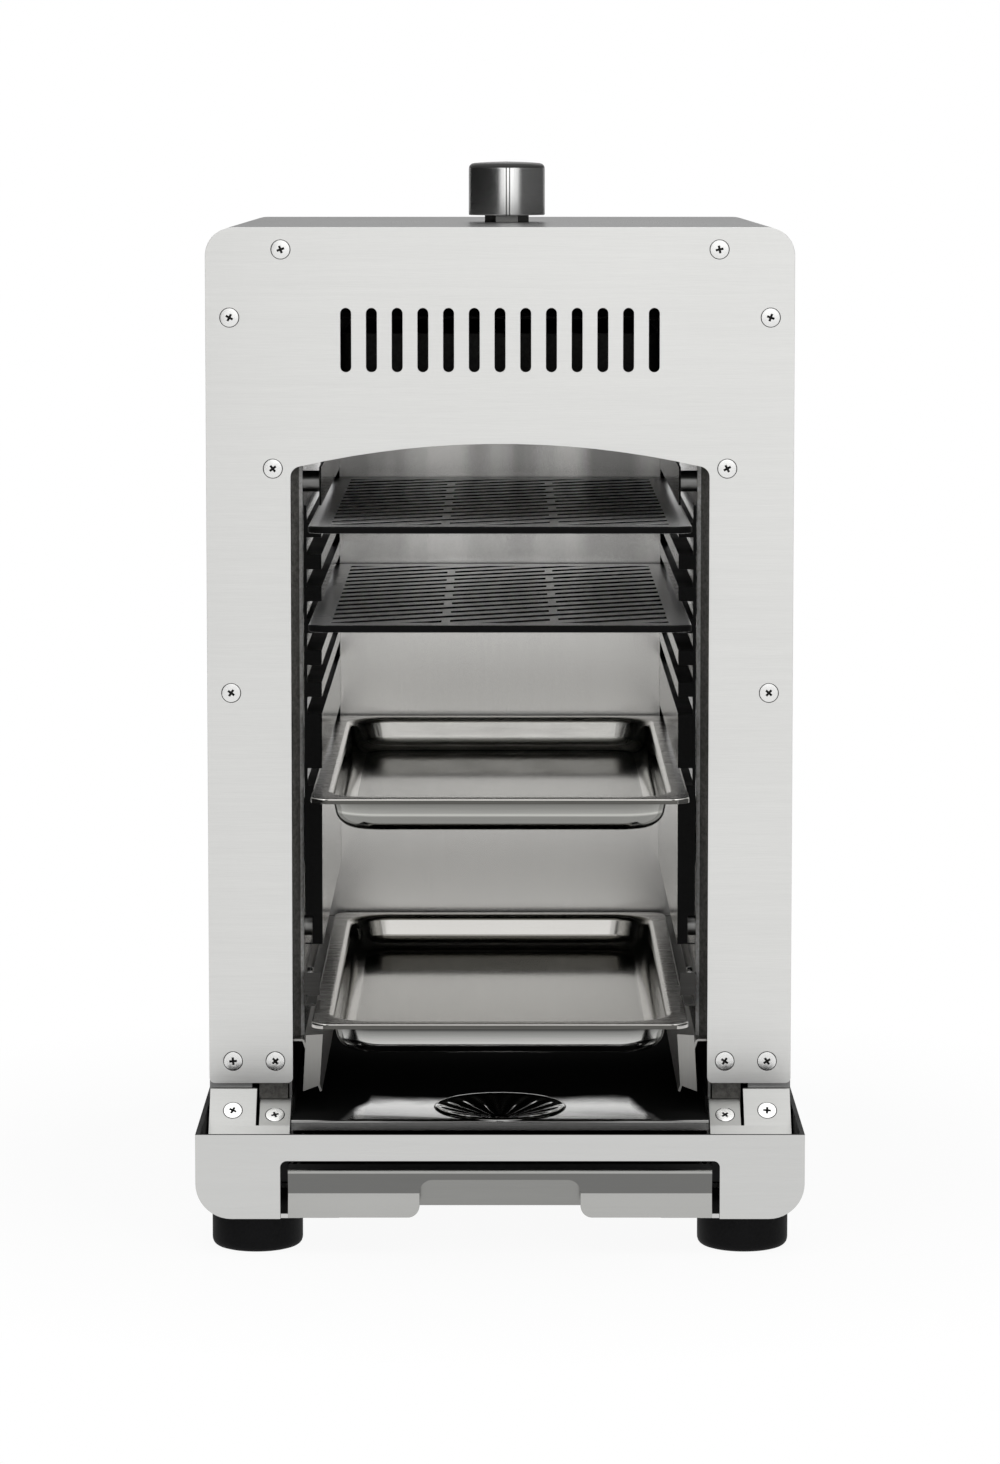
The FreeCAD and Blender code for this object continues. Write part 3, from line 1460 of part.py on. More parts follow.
burner_d = (porch_depth + back_liner_face) / 2
tiles_half_d = tile_width + tile_gap / 2
burner_half_x = tile_length / 2 + gasket_width
burner_half_d = tiles_half_d + gasket_width
burner_top = deck_top + burner_height
jet_z = burner_top - mixing_tube_drop
jet_block_front = cover_front - jet_block_length
jet_pipe_d = cover_front - jet_block_length / 2
sensor_d = burner_d - burner_half_d - burner_sheet - burner_flange - sensor_collar_diameter / 2 - 2
funnel_d = porch_depth - sump_lip_setback + funnel_setback

drawer_front_half = opening_half - 0.5
drawer_opening_half = drawer_front_half + drawer_side_gap
tray_half = drawer_front_half - drawer_side_gap
floor_gap_half = tray_half - floor_overlap

os.makedirs("parts", exist_ok=True)

# Housing and cavity
save("outer_housing", build_housing())
save("front_plate", build_front_plate())
plate_screw = countersunk_screw(plate_screw_head, plate_screw_shank, plate_screw_length)
save("front_plate_screws", *[placed(plate_screw, (x, porch_depth, z), (0, -1, 0), recess_turn * index)
                             for index, (x, z) in enumerate(plate_screw_places())])
save("rear_cover", build_rear_cover())
cover_screw = pan_screw(pan_screw_head, pan_screw_head_height, pan_screw_shank, pan_screw_length)
save("rear_screws", *([placed(cover_screw, (x, housing_rear, z), (0, 1, 0))
                       for x, z in rear_screw_places()]
                      + [placed(cover_screw, (x, base_depth, z), (0, 1, 0))
                         for x, z in base_screw_places()]))
save_pair("side_liner", finish_liner(build_liner()))
save("back_liner", build_back_liner())
save_pair("side_rack", build_rack())
save("rack_spacers", *[piece for spacer in build_spacers() for piece in both_sides(spacer)])
save_pair("lower_pan_rail", build_lower_rail())
save("wall_screws", *[piece for screw in build_rack_screws() + build_rail_screws()
                      for piece in both_sides(screw)])

# Shelves
save("upper_grate", build_grate(grate_ledges[ledges_below_upper_grate_count]))
save("lower_grate", build_grate(grate_ledges[ledges_below_lower_grate_count]))
save("upper_pan", build_pan(pan_ledge))
save("lower_pan", build_pan(lower_ledge))

# Base
save("base_frame", build_base_frame())
save_pair("chassis_side", build_chassis())
save_pair("drawer_runner", build_runner())
save("sump_pan", build_sump())
save_pair("drip_deflector", build_deflector())
save_pair("corner_plate", build_corner_plate())
save("corner_posts", *[piece for post in build_corner_posts() for piece in both_sides(post)])
save("corner_screws", *[piece for screw in build_corner_screws() for piece in both_sides(screw)])
save("rubber_feet", *[build_foot(x, d) for x, d in foot_places()])
save("foot_screws", *build_foot_screws())
save("foot_nuts", *build_foot_nuts())
save("drip_drawer", build_drawer())

# Burner and gas line
save("burner_deck", build_deck())
save("burner_housing", build_burner_housing())
save("tile_frame", build_tile_frame())
save("ceramic_tiles", *build_tiles())
save("burner_gasket", build_gasket())
save("heat_shield", build_shield())
save("mixing_tube", build_mixing_tube())
save("jet_holder", build_jet_holder())
save("gas_jet", build_jet())
save("gas_pipe", build_gas_pipe())
save("inlet_pipe", build_inlet_pipe())
save("gas_inlet", build_inlet())
save("inlet_nut", build_inlet_nut())
save("ignition_electrode", *build_electrode())
save("ignition_lead", build_ignition_lead())
save("flame_sensor", build_thermocouple())
save("sensor_lead", build_sensor_lead())
save("spark_unit", build_igniter())

# Valve and knob
save_valve("valve_body", build_valve_body())
save_valve("valve_cap", valve_rod(valve_diameter, valve_bottom - valve_cap_height, valve_bottom))
save_valve("valve_nut", build_valve_nut())
save_valve("valve_plug", build_valve_plug())
save_valve("valve_stem", build_stem())
save_valve("knob_spring", build_spring())
save_valve("control_knob", build_knob())
save_valve("knob_grub_screw", build_grub_screw())
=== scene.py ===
"""Infrared gas grill: brushed front, polished base, slotted racks, grates, pans and a roof knob."""

import logging
import math
from dataclasses import dataclass
from enum import Enum
from functools import cache
from typing import Callable, Iterable, Optional, Union

import bmesh
import bpy
from mathutils import Matrix, Vector


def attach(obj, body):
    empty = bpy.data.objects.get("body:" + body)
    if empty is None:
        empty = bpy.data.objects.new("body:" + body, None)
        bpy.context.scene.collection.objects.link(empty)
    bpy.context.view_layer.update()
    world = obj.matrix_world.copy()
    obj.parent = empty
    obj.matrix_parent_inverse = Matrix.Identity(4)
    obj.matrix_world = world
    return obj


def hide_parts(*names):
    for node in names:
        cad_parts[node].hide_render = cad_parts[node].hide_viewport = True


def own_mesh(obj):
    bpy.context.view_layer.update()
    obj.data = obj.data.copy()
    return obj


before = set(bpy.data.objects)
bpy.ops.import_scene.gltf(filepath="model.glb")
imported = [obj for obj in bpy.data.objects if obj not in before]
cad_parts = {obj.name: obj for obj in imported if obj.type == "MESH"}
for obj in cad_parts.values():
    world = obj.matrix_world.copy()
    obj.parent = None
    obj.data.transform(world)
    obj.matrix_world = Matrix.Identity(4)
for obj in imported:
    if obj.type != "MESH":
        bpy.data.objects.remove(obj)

Tree = bpy.types.NodeTree
Node = bpy.types.Node
Piece = bpy.types.Object
Socket = bpy.types.NodeSocket
Shape = bmesh.types.BMesh
Face = bmesh.types.BMFace
Tone = tuple[float, float, float]
Feed = Union[Socket, float, tuple[float, ...], None]
Place = tuple[Vector, Vector, float]
Pick = Callable[[Face], int]

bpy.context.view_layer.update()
LOG = logging.getLogger("grill")
BODY = "grill"
SIDES = (-1, 1)
WELD = 1e-6
FINE_EDGE = 0.0002
WHITE = (1.0, 1.0, 1.0, 1.0)
X_AXIS = Vector((1.0, 0.0, 0.0))
Z_AXIS = Vector((0.0, 0.0, 1.0))


class Grain(Enum):
    """Direction in which a sheet's brushing runs."""

    ACROSS = (1.0, 60.0, 60.0)
    UPRIGHT = (60.0, 60.0, 1.0)
    DEEP = (60.0, 1.0, 60.0)
    NONE = (12.0, 12.0, 12.0)


class Lamp(Enum):
    """Studio lamps, as place, target, size in metres and power in watts."""

    OVERHEAD = ((0.0, -0.35, 1.9), (0.0, 0.0, 0.2), (1.6, 1.4), 6.0)
    FRONT = ((0.35, -2.9, 0.9), (0.0, 0.0, 0.35), (1.4, 1.0), 1.9)
    REAR = ((0.4, 1.5, 1.4), (0.0, 0.0, 0.25), (1.4, 0.8), 5.0)
    SUMP = ((0.0, 0.060, 0.0865), (0.0, 0.060, 0.0), (0.150, 0.050), 0.02)
    LEFT_GAP = ((-0.0910, 0.100, 0.30), (-0.0910, -1.0, 0.30), (0.008, 0.26), 0.004)
    RIGHT_GAP = ((0.0910, 0.100, 0.30), (0.0910, -1.0, 0.30), (0.008, 0.26), 0.004)


# Shader nodes

def feed(tree: Tree, node: Node, *feeds: Feed, **named: Feed) -> Node:
    """Links sockets to a node's inputs, or sets constants on them.

    Args:
        tree: The node tree.
        node: The node.
        feeds: A socket or a constant for each input in order, None to leave one alone.
        named: Sockets or constants by the input's name, with underscores for spaces.

    Returns:
        The node.
    """
    by_name = [(node.inputs[name.replace("_", " ")], value) for name, value in named.items()]
    for target, value in [*zip(node.inputs, feeds), *by_name]:
        if isinstance(value, Socket):
            tree.links.new(value, target)
        elif value is not None:
            target.default_value = value
    return node


def add_node(tree: Tree, kind: str, *feeds: Feed, settings: Optional[dict[str, object]] = None,
             **named: Feed) -> Node:
    """Adds a shader node.

    Args:
        tree: The node tree.
        kind: The node's type name, without its ShaderNode prefix.
        feeds: Its inputs in order, as in feed.
        settings: Node settings by name.
        named: Its inputs by name, as in feed.

    Returns:
        The new node.
    """
    node = tree.nodes.new("ShaderNode" + kind)
    for name, value in (settings or {}).items():
        setattr(node, name, value)
    return feed(tree, node, *feeds, **named)


def calculate(tree: Tree, operation: str, *feeds: Feed) -> Socket:
    """Adds a node that calculates with numbers."""
    return add_node(tree, "Math", *feeds, settings={"operation": operation}).outputs[0]


def with_vector(tree: Tree, operation: str, *feeds: Feed, **named: Feed) -> Node:
    """Adds a node that calculates with vectors or colours."""
    return add_node(tree, "VectorMath", *feeds, settings={"operation": operation}, **named)


def scaled(tree: Tree, colour: Socket, factor: Feed) -> Socket:
    """Multiplies a colour by a number."""
    return with_vector(tree, "SCALE", colour, Scale=factor).outputs[0]


def noise(tree: Tree, place: Socket, scale: Feed, detail: float, roughness: float = 0.5) -> Socket:
    """Adds a noise texture."""
    return add_node(tree, "TexNoise", Vector=place, Scale=scale, Detail=detail,
                    Roughness=roughness).outputs["Fac"]


def axis(tree: Tree, place: Socket, name: str) -> Socket:
    """Takes one coordinate of a place."""
    return add_node(tree, "SeparateXYZ", place).outputs[name]


def mapped(tree: Tree, value: Socket, low: Feed, high: Feed, to_low: float = 0.0,
           to_high: float = 1.0, curve: str = "LINEAR") -> Socket:
    """Maps a value from one range to another, held at the ends."""
    return add_node(tree, "MapRange", settings={"interpolation_type": curve}, Value=value,
                    From_Min=low, From_Max=high, To_Min=to_low, To_Max=to_high).outputs["Result"]


def spread(tree: Tree, value: Socket, low: float, high: float) -> Socket:
    """Maps a noise value from its usual middle range to a range of its own."""
    return mapped(tree, value, 0.3, 0.7, low, high)


def darkened(tree: Tree, colour: Socket, mask: Socket, amount: float, low: float = 0.3,
             high: float = 0.7) -> Socket:
    """Darkens a colour by an amount where a mask is high, and not at all where it is low."""
    return scaled(tree, colour, mapped(tree, mask, low, high, 1.0, 1.0 - amount))


def bump(tree: Tree, height: Socket, strength: float, distance: float) -> Socket:
    """Turns a height into a normal."""
    return add_node(tree, "Bump", Height=height, Strength=strength,
                    Distance=distance).outputs["Normal"]


def ramp(tree: Tree, value: Socket, *stops: tuple[float, Tone]) -> Socket:
    """Turns a value into a colour.

    Args:
        tree: The node tree.
        value: The value's socket.
        stops: Position and tone of each stop, two or more.

    Returns:
        The colour's socket.
    """
    node = add_node(tree, "ValToRGB", value)
    elements = node.color_ramp.elements
    for index, (position, tone) in enumerate(stops):
        stop = elements[index] if index < 2 else elements.new(position)
        stop.position = position
        stop.color = (*tone, 1.0)
    return node.outputs["Color"]


def shade(tone: Tone, factor: float) -> Tone:
    """Makes a tone darker or lighter."""
    return tuple(min(1.0, part * factor) for part in tone)


# Shared shader groups

def open_group(name: str, numbers: tuple[str, ...], results: tuple[str, ...],
               vectors: tuple[str, ...] = ()) -> tuple[Tree, Iterable[Socket], Socket, Node]:
    """Starts a shader group.

    Args:
        name: The group's name.
        numbers: Its number inputs.
        results: Its number outputs.
        vectors: Its vector inputs.

    Returns:
        The group, its inputs, the object's own coordinates and the node of its outputs.
    """
    tree = bpy.data.node_groups.new(name, "ShaderNodeTree")
    for vector in vectors:
        tree.interface.new_socket(vector, in_out="INPUT", socket_type="NodeSocketVector")
    for direction, sockets in (("INPUT", numbers), ("OUTPUT", results)):
        for socket in sockets:
            tree.interface.new_socket(socket, in_out=direction, socket_type="NodeSocketFloat")
    given = tree.nodes.new("NodeGroupInput").outputs
    place = add_node(tree, "TexCoord").outputs["Object"]
    return tree, given, place, tree.nodes.new("NodeGroupOutput")


@cache
def brushed_grain_group() -> Tree:
    """Builds the group that gives brushed metal its hairlines, streaks and slow cloudiness.

    Returns:
        The group.
    """
    tree, given, place, end = open_group("Brushed grain", ("Fineness",),
                                         ("Line", "Streak", "Cloud"), ("Stretch",))
    drawn = with_vector(tree, "MULTIPLY", place, given["Stretch"]).outputs[0]
    broad = calculate(tree, "MULTIPLY", given["Fineness"], 0.12)
    feed(tree, end, Line=noise(tree, drawn, given["Fineness"], 3.0, 0.7),
         Streak=noise(tree, drawn, broad, 3.0, 0.6), Cloud=noise(tree, place, 9.0, 3.0))
    return tree


@cache
def wall_streak_group() -> Tree:
    """Builds the group of upright soft streaks of painted reflection on a wall's upper part.

    Returns:
        The group.
    """
    tree, given, place, end = open_group("Wall streaks", ("Spacing", "Fade start", "Fade end"),
                                         ("Streak",))
    upright = with_vector(tree, "MULTIPLY", place, (1.0, 0.0, 0.06)).outputs[0]
    streak = mapped(tree, noise(tree, upright, given["Spacing"], 2.0, 0.4), 0.39, 0.61)
    height = mapped(tree, axis(tree, place, "Z"), given["Fade start"], given["Fade end"],
                    curve="SMOOTHSTEP")
    feed(tree, end, Streak=calculate(tree, "MULTIPLY", streak, height))
    return tree


@cache
def painted_shade_group() -> Tree:
    """Builds the group of painted shade that darkens the sump towards its sides and the back of the
    cavity.

    Returns:
        The group.
    """
    tree, given, place, end = open_group("Soot", ("Clean until", "Dark from"), ("Soot",))
    ragged = calculate(tree, "MULTIPLY_ADD", noise(tree, place, 30.0, 3.0), 0.03,
                       axis(tree, place, "Y"))
    reach = calculate(tree, "ABSOLUTE", axis(tree, place, "X"))
    beside = mapped(tree, reach, 0.062, 0.082, 0.0, 0.08)
    inward = calculate(tree, "ADD", ragged, beside)
    feed(tree, end, Soot=mapped(tree, inward, given["Clean until"], given["Dark from"],
                                curve="SMOOTHSTEP"))
    return tree


@cache
def depth_shade_group() -> Tree:
    """Builds the group of painted shade, with a painted highlight band, on a pan's outside from its
    bottom to its rim.

    Returns:
        The group.
    """
    tree, given, place, end = open_group("Depth shade", ("Bottom", "Top"), ("Shade",))
    height = mapped(tree, axis(tree, place, "Z"), given["Bottom"], given["Top"])
    stops = ((0.0, 0.45), (0.44, 0.45), (0.50, 1.0), (0.56, 0.62), (0.75, 0.42), (0.90, 0.24),
             (0.97, 0.06))
    feed(tree, end, Shade=ramp(tree, height, *((spot, (tone,) * 3) for spot, tone in stops)))
    return tree


@cache
def speckle_group() -> Tree:
    """Builds the group that gives cast, moulded and fibrous surfaces their fine speckle.

    Returns:
        The group.
    """
    tree, given, place, end = open_group("Fine speckle", ("Scale",), ("Speckle", "Patch"))
    feed(tree, end, Speckle=noise(tree, place, given["Scale"], 5.0, 0.7),
         Patch=noise(tree, place, 25.0, 2.0))
    return tree


def use_group(tree: Tree, group: Callable[[], Tree], **named: Feed) -> Iterable[Socket]:
    """Adds a shared group to a material's tree and gives its outputs."""
    return add_node(tree, "Group", settings={"node_tree": group()}, **named).outputs


# Finishes

def new_material(name: str) -> tuple[bpy.types.Material, Tree, Node]:
    """Starts a material.

    Args:
        name: Its name, with underscores for spaces.

    Returns:
        The material, its node tree and its main shader.
    """
    material = bpy.data.materials.new(name.replace("_", " ").capitalize())
    material.use_nodes = True
    tree = material.node_tree
    return material, tree, tree.nodes["Principled BSDF"]


@dataclass(frozen=True)
class Finish:
    """A look by its name, with its main tone."""

    name: str
    colour: Tone

    def build(self) -> bpy.types.Material:
        """Builds the material.

        Returns:
            The material.
        """
        material, tree, shader = new_material(self.name)
        self.paint(tree, shader)
        return material

    def paint(self, tree: Tree, shader: Node) -> None:
        """Adds this finish's nodes to the tree of a new material."""
        raise NotImplementedError

    def mottled(self, tree: Tree, value: Socket, low: float, dark: float, light: float) -> Socket:
        """The tone, from darker where a noise is low to lighter where it is high."""
        return ramp(tree, value, (low, shade(self.colour, dark)),
                    (1.0 - low, shade(self.colour, light)))


@dataclass(frozen=True)
class Metal(Finish):
    """Sheet metal with a brushed, satin or polished grain."""

    roughness: float
    grain: Grain = Grain.ACROSS
    fineness: float = 40.0
    contrast: float = 0.03
    streaks: float = 0.02
    relief: float = 0.12
    unevenness: float = 0.03
    edge_tint: float = 1.0
    wall_streaks: float = 0.0
    painted_shade: Optional[tuple[float, float]] = None
    depth: Optional[tuple[float, float]] = None

    def paint(self, tree: Tree, shader: Node) -> None:
        """Adds the grain, its unevenness, a wall's painted reflection streaks, the sump's painted
        shade and the painted shade and highlight of a pan's outside.

        Args:
            tree: The material's node tree.
            shader: Its main shader.
        """
        tint, uneven = self.edge_tint, self.unevenness
        feed(tree, shader, Metallic=1.0, Specular_Tint=(tint, tint, tint, 1.0))
        grain = use_group(tree, brushed_grain_group, Stretch=self.grain.value,
                          Fineness=self.fineness)
        colour = self.mottled(tree, grain["Line"], 0.32, 1.0 - self.contrast, 1.0 + self.contrast)
        colour = darkened(tree, colour, grain["Streak"], self.streaks)
        # Painted reflection: upright streaks darken a wall's upper part
        if self.wall_streaks:
            wall = use_group(tree, wall_streak_group, Spacing=34.0, Fade_start=0.24, Fade_end=0.36)
            colour = darkened(tree, colour, wall["Streak"], self.wall_streaks, 0.0, 1.0)
        # Painted shade: the sump turns dark and loses its metal sheen towards its sides and rear
        if self.painted_shade is not None:
            unshaded, dark = self.painted_shade
            painted_shade = use_group(tree, painted_shade_group, Clean_until=unshaded, Dark_from=dark)["Soot"]
            colour = darkened(tree, colour, painted_shade, 0.97, 0.0, 1.0)
            feed(tree, shader, Metallic=mapped(tree, painted_shade, 0.0, 1.0, 1.0, 0.0),
                 Specular_IOR_Level=0.0)
        # Painted shade and a painted highlight band up a pan's outside
        if self.depth is not None:
            bottom, top = self.depth
            depth = use_group(tree, depth_shade_group, Bottom=bottom, Top=top)
            colour = scaled(tree, colour, depth["Shade"])
        lines = spread(tree, grain["Line"], max(0.02, self.roughness - uneven),
                       self.roughness + uneven)
        clouds = spread(tree, grain["Cloud"], -uneven * 0.5, uneven * 0.5)
        feed(tree, shader, Base_Color=colour, Roughness=calculate(tree, "ADD", lines, clouds),
             Normal=bump(tree, grain["Line"], self.relief, 0.0002))


@dataclass(frozen=True)
class Speckled(Finish):
    """Rubber, ceramic, felt, cast brass, moulded plastic, sheath, dark metal, and matt finishes of
    painted light and shade.
    """

    roughness: float
    scale: float = 400.0
    contrast: float = 0.12
    relief: float = 0.15
    metallic: float = 0.0
    sheen: float = 0.0
    gloss: float = 0.5

    def paint(self, tree: Tree, shader: Node) -> None:
        """Adds the fine speckle and the patches of roughness.

        Args:
            tree: The material's node tree.
            shader: Its main shader.
        """
        speckle = use_group(tree, speckle_group, Scale=self.scale)
        feed(tree, shader, Metallic=self.metallic, Sheen_Weight=self.sheen,
             Specular_IOR_Level=self.gloss,
             Base_Color=self.mottled(tree, speckle["Speckle"], 0.35, 1.0 - self.contrast,
                                     1.0 + self.contrast),
             Roughness=spread(tree, speckle["Patch"], self.roughness - 0.06, self.roughness + 0.06),
             Normal=bump(tree, speckle["Speckle"], self.relief, 0.0003))


@dataclass(frozen=True)
class PiercedTile(Finish):
    """Ceramic burner tile with its grid of fine flame holes."""

    pitch: float = 0.0016

    def paint(self, tree: Tree, shader: Node) -> None:
        """Adds the holes and the ceramic's speckle.

        Args:
            tree: The material's node tree.
            shader: Its main shader.
        """
        cells = add_node(tree, "TexVoronoi", settings={"voronoi_dimensions": "2D"},
                         Vector=add_node(tree, "TexCoord").outputs["Object"],
                         Scale=1.0 / self.pitch, Randomness=0.0)
        solid = mapped(tree, cells.outputs["Distance"], 0.3, 0.36)
        speckle = use_group(tree, speckle_group, Scale=300.0)["Speckle"]
        body = self.mottled(tree, speckle, 0.35, 0.9, 1.05)
        blend = add_node(tree, "Mix", solid, *[None] * 5, (0.10, 0.08, 0.06, 1.0), body,
                         settings={"data_type": "RGBA"})
        feed(tree, shader, Roughness=0.9, Base_Color=blend.outputs[2],
             Normal=bump(tree, solid, 0.5, 0.0006))


ACROSS, UPRIGHT, DEEP, NONE = Grain
FINISHES: tuple[Finish, ...] = (
    Metal("brushed_plate", (0.725, 0.725, 0.71), 0.34, ACROSS, 60, 0.03, 0.03, 0.12),
    Metal("housing_steel", (0.28, 0.28, 0.28), 0.3, DEEP, 50, 0.05, 0.05, 0.1, edge_tint=0.35),
    Metal("liner_steel", (0.86, 0.85, 0.83), 0.16, UPRIGHT, 40, 0.04, 0.05, 0.04),
    Metal("deflector_steel", (0.36, 0.355, 0.34), 0.34, UPRIGHT, 40, 0.05, 0.05, 0.08),
    Metal("rail_steel", (0.05, 0.049, 0.047), 0.3, ACROSS, 40, 0.1, 0.1, 0.08),
    # The back wall carries upright streaks of painted reflection
    Metal("back_wall_steel", (0.75, 0.74, 0.72), 0.26, UPRIGHT, 40, 0.01, 0.02, 0.01,
          0.01, wall_streaks=0.6),
    Metal("rack_steel", (0.84, 0.84, 0.83), 0.16, DEEP, 40, 0.05, 0.05, 0.03),
    Metal("screw_steel", (0.8, 0.8, 0.79), 0.24, NONE, 200, 0.04, 0.04, 0.05),
    Metal("grate_steel", (0.97, 0.97, 0.97), 0.3, ACROSS, 40, 0.04, 0.04, 0.04),
    Metal("pan_steel", (0.66, 0.65, 0.62), 0.09, ACROSS, 44, 0.03, 0.03, 0.02),
    # Darker copies of the pan steel: the lower pan's walls, and every pan's floor, rim and lip, as
    # painted shade and reflection
    Metal("low_pan_painted_shade", (0.51, 0.5, 0.48), 0.15, ACROSS, 44, 0.03, 0.03, 0.02),
    Metal("pan_floor", (0.275, 0.271, 0.252), 0.09, DEEP, 60, 0.05, 0.06, 0.06),
    Metal("pan_rim", (0.34, 0.33, 0.31), 0.26, ACROSS, 44, 0.12, 0.1, 0.15),
    # The pans' outsides carry painted shade with a painted highlight band; the lower one is lighter
    # as painted light
    Metal("upper_shell", (0.56, 0.56, 0.53), 0.12, ACROSS, 44, 0.04, 0.04, 0.03,
          depth=(0.1927, 0.2085)),
    Metal("lower_shell", (0.9, 0.9, 0.87), 0.12, ACROSS, 44, 0.04, 0.04, 0.03,
          depth=(0.0845, 0.101)),
    Metal("pan_lip", (0.11, 0.108, 0.1), 0.3, ACROSS, 44, 0.12, 0.1, 0.1),
    Metal("base_steel", (0.59, 0.59, 0.58), 0.14, ACROSS, 60, 0.02, 0.02, 0.03),
    Metal("flap_steel", (0.41, 0.41, 0.4), 0.3, ACROSS, 60, 0.03, 0.03, 0.08),
    # Darker copies of the base steel for the drawer: its upper band as painted shade, its lower
    # band as painted light, its tray as painted shade
    Metal("drawer_painted_shade", (0.165, 0.165, 0.16), 0.14, ACROSS, 60, 0.03, 0.02, 0.03),
    Metal("drawer_painted_light", (0.32, 0.32, 0.31), 0.14, ACROSS, 60, 0.03, 0.02, 0.03),
    Metal("tray_steel", (0.27, 0.27, 0.26), 0.16, ACROSS, 60, 0.03, 0.02, 0.03),
    # The sump carries painted shade towards its sides and rear
    Metal("sump_steel", (0.66, 0.66, 0.65), 0.08, ACROSS, 40, 0.03, 0.04, 0.02,
          painted_shade=(-0.105, -0.08)),
    Metal("funnel_steel", (0.66, 0.66, 0.65), 0.07, NONE, 100, 0.03, 0.04, 0.02),
    # The sump's front lip is darker as painted shade
    Metal("sump_lip", (0.24, 0.24, 0.235), 0.2, ACROSS, 40, 0.1, 0.1, 0.03),
    Metal("inner_steel", (0.2, 0.2, 0.195), 0.34, ACROSS, 30, 0.06, 0.06),
    Metal("spring_steel", (0.55, 0.55, 0.54), 0.25, NONE, 200, 0.05, 0.05, 0.05),
    Metal("knob_metal", (0.88, 0.88, 0.87), 0.24, UPRIGHT, 50, 0.04, 0.05, 0.06, edge_tint=0.3),
    # Painted light and painted shade for the two halves of the liner's front flange
    Speckled("liner_painted_light", (0.88, 0.87, 0.82), 0.4, 500, 0.25, 0.15, gloss=0.3),
    Speckled("liner_painted_shade", (0.16, 0.155, 0.145), 0.4, 500, 0.35, 0.15, gloss=0.2),
    # The knob's dark crown stands in for a dark reflection, as painted shade
    Speckled("knob_crown_painted_shade", (0.06, 0.06, 0.058), 0.45, 900, 0.1, 0.05, gloss=0.1),
    Speckled("rack_dark", (0.005, 0.005, 0.005), 0.5, 900, 0.25, 0.1, gloss=0.05),
    # Painted shade for recesses: screw crosses, countersinks and the knob's pointer groove
    Speckled("recess_painted_shade", (0.03, 0.03, 0.03), 0.5, 900, 0.15, 0.05, gloss=0.2),
    Speckled("cut_edge", (0.006, 0.006, 0.006), 0.55, 900, 0.2, 0.05, gloss=0.05),
    # Near black as painted shade on the base's rims, its inside and what its frame hides
    Speckled("base_painted_shade", (0.008, 0.008, 0.008), 0.6, 900, 0.2, 0.05, gloss=0.1),
    Speckled("burnt_steel", (0.03, 0.029, 0.027), 0.6, 500, 0.3, 0.1, gloss=0.2),
    Speckled("foot_rubber", (0.006, 0.006, 0.0065), 0.62, 700, 0.25, 0.2, gloss=0.1),
    Speckled("fibre_felt", (0.78, 0.76, 0.71), 0.95, 1500, 0.15, 0.6, sheen=0.3),
    Speckled("glazed_ceramic", (0.86, 0.85, 0.82), 0.25, 300, 0.03, 0.03),
    Speckled("valve_brass", (0.72, 0.55, 0.27), 0.28, 500, 0.08, 0.08, metallic=1.0),
    Speckled("lead_sheath", (0.3, 0.28, 0.25), 0.7, 1800, 0.25, 0.4),
    Speckled("spark_case", (0.02, 0.02, 0.02), 0.45, 900, 0.2, 0.15),
    PiercedTile("tile_ceramic", (0.8, 0.74, 0.64)),
)

LOOKS = {finish.name: finish for finish in FINISHES}


@cache
def look(finish: str) -> bpy.types.Material:
    """The material of a finish, built when it is first used."""
    return LOOKS[finish].build()


def dress(finish: str, *names: str) -> None:
    """Gives CAD nodes a finish.

    Args:
        finish: The finish's name.
        names: The nodes.
    """
    for name in names:
        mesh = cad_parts[name].data
        mesh.materials.clear()
        mesh.materials.append(look(finish))
        LOG.info("%s: %s", name, finish)


# Mesh helpers

def mesh_of(name: str, shape: Shape) -> bpy.types.Mesh:
    """Turns a bmesh into a mesh and frees it.

    Args:
        name: The mesh's name.
        shape: The bmesh.

    Returns:
        The mesh.
    """
    mesh = bpy.data.meshes.new(name)
    shape.to_mesh(mesh)
    shape.free()
    return mesh


def put(name: str, data: bpy.types.ID) -> Piece:
    """Puts a new object into the scene.

    Args:
        name: The object's name.
        data: Its mesh, lamp or camera.

    Returns:
        The object.
    """
    item = bpy.data.objects.new(name, data)
    bpy.context.scene.collection.objects.link(item)
    return item


def modify(piece: Piece, name: str, kind: str, **settings: object) -> None:
    """Adds a modifier.

    Args:
        piece: The object.
        name: The modifier's name.
        kind: Its type.
        settings: Its settings by name.
    """
    modifier = piece.modifiers.new(name, kind)
    for setting, value in settings.items():
        setattr(modifier, setting, value)


def flatten(piece: Piece) -> None:
    """Keeps the shading of large faces flat where they meet small rounded ones."""
    modify(piece, "Flat faces", "WEIGHTED_NORMAL", mode="FACE_AREA", weight=100, keep_sharp=True)


def smooth_by_angle(shape: Shape, degrees: float = 32.0) -> None:
    """Shades a bmesh smooth and keeps its folds sharp.

    Args:
        shape: The bmesh.
        degrees: The angle from which an edge counts as a fold.
    """
    limit = math.radians(degrees)
    for face in shape.faces:
        face.smooth = True
    for edge in shape.edges:
        edge.smooth = len(edge.link_faces) == 2 and edge.calc_face_angle(0.0) < limit


def assign(shape: Shape, pick: Pick) -> None:
    """Gives each face the number of its finish among the piece's finishes."""
    for face in shape.faces:
        face.material_index = pick(face)


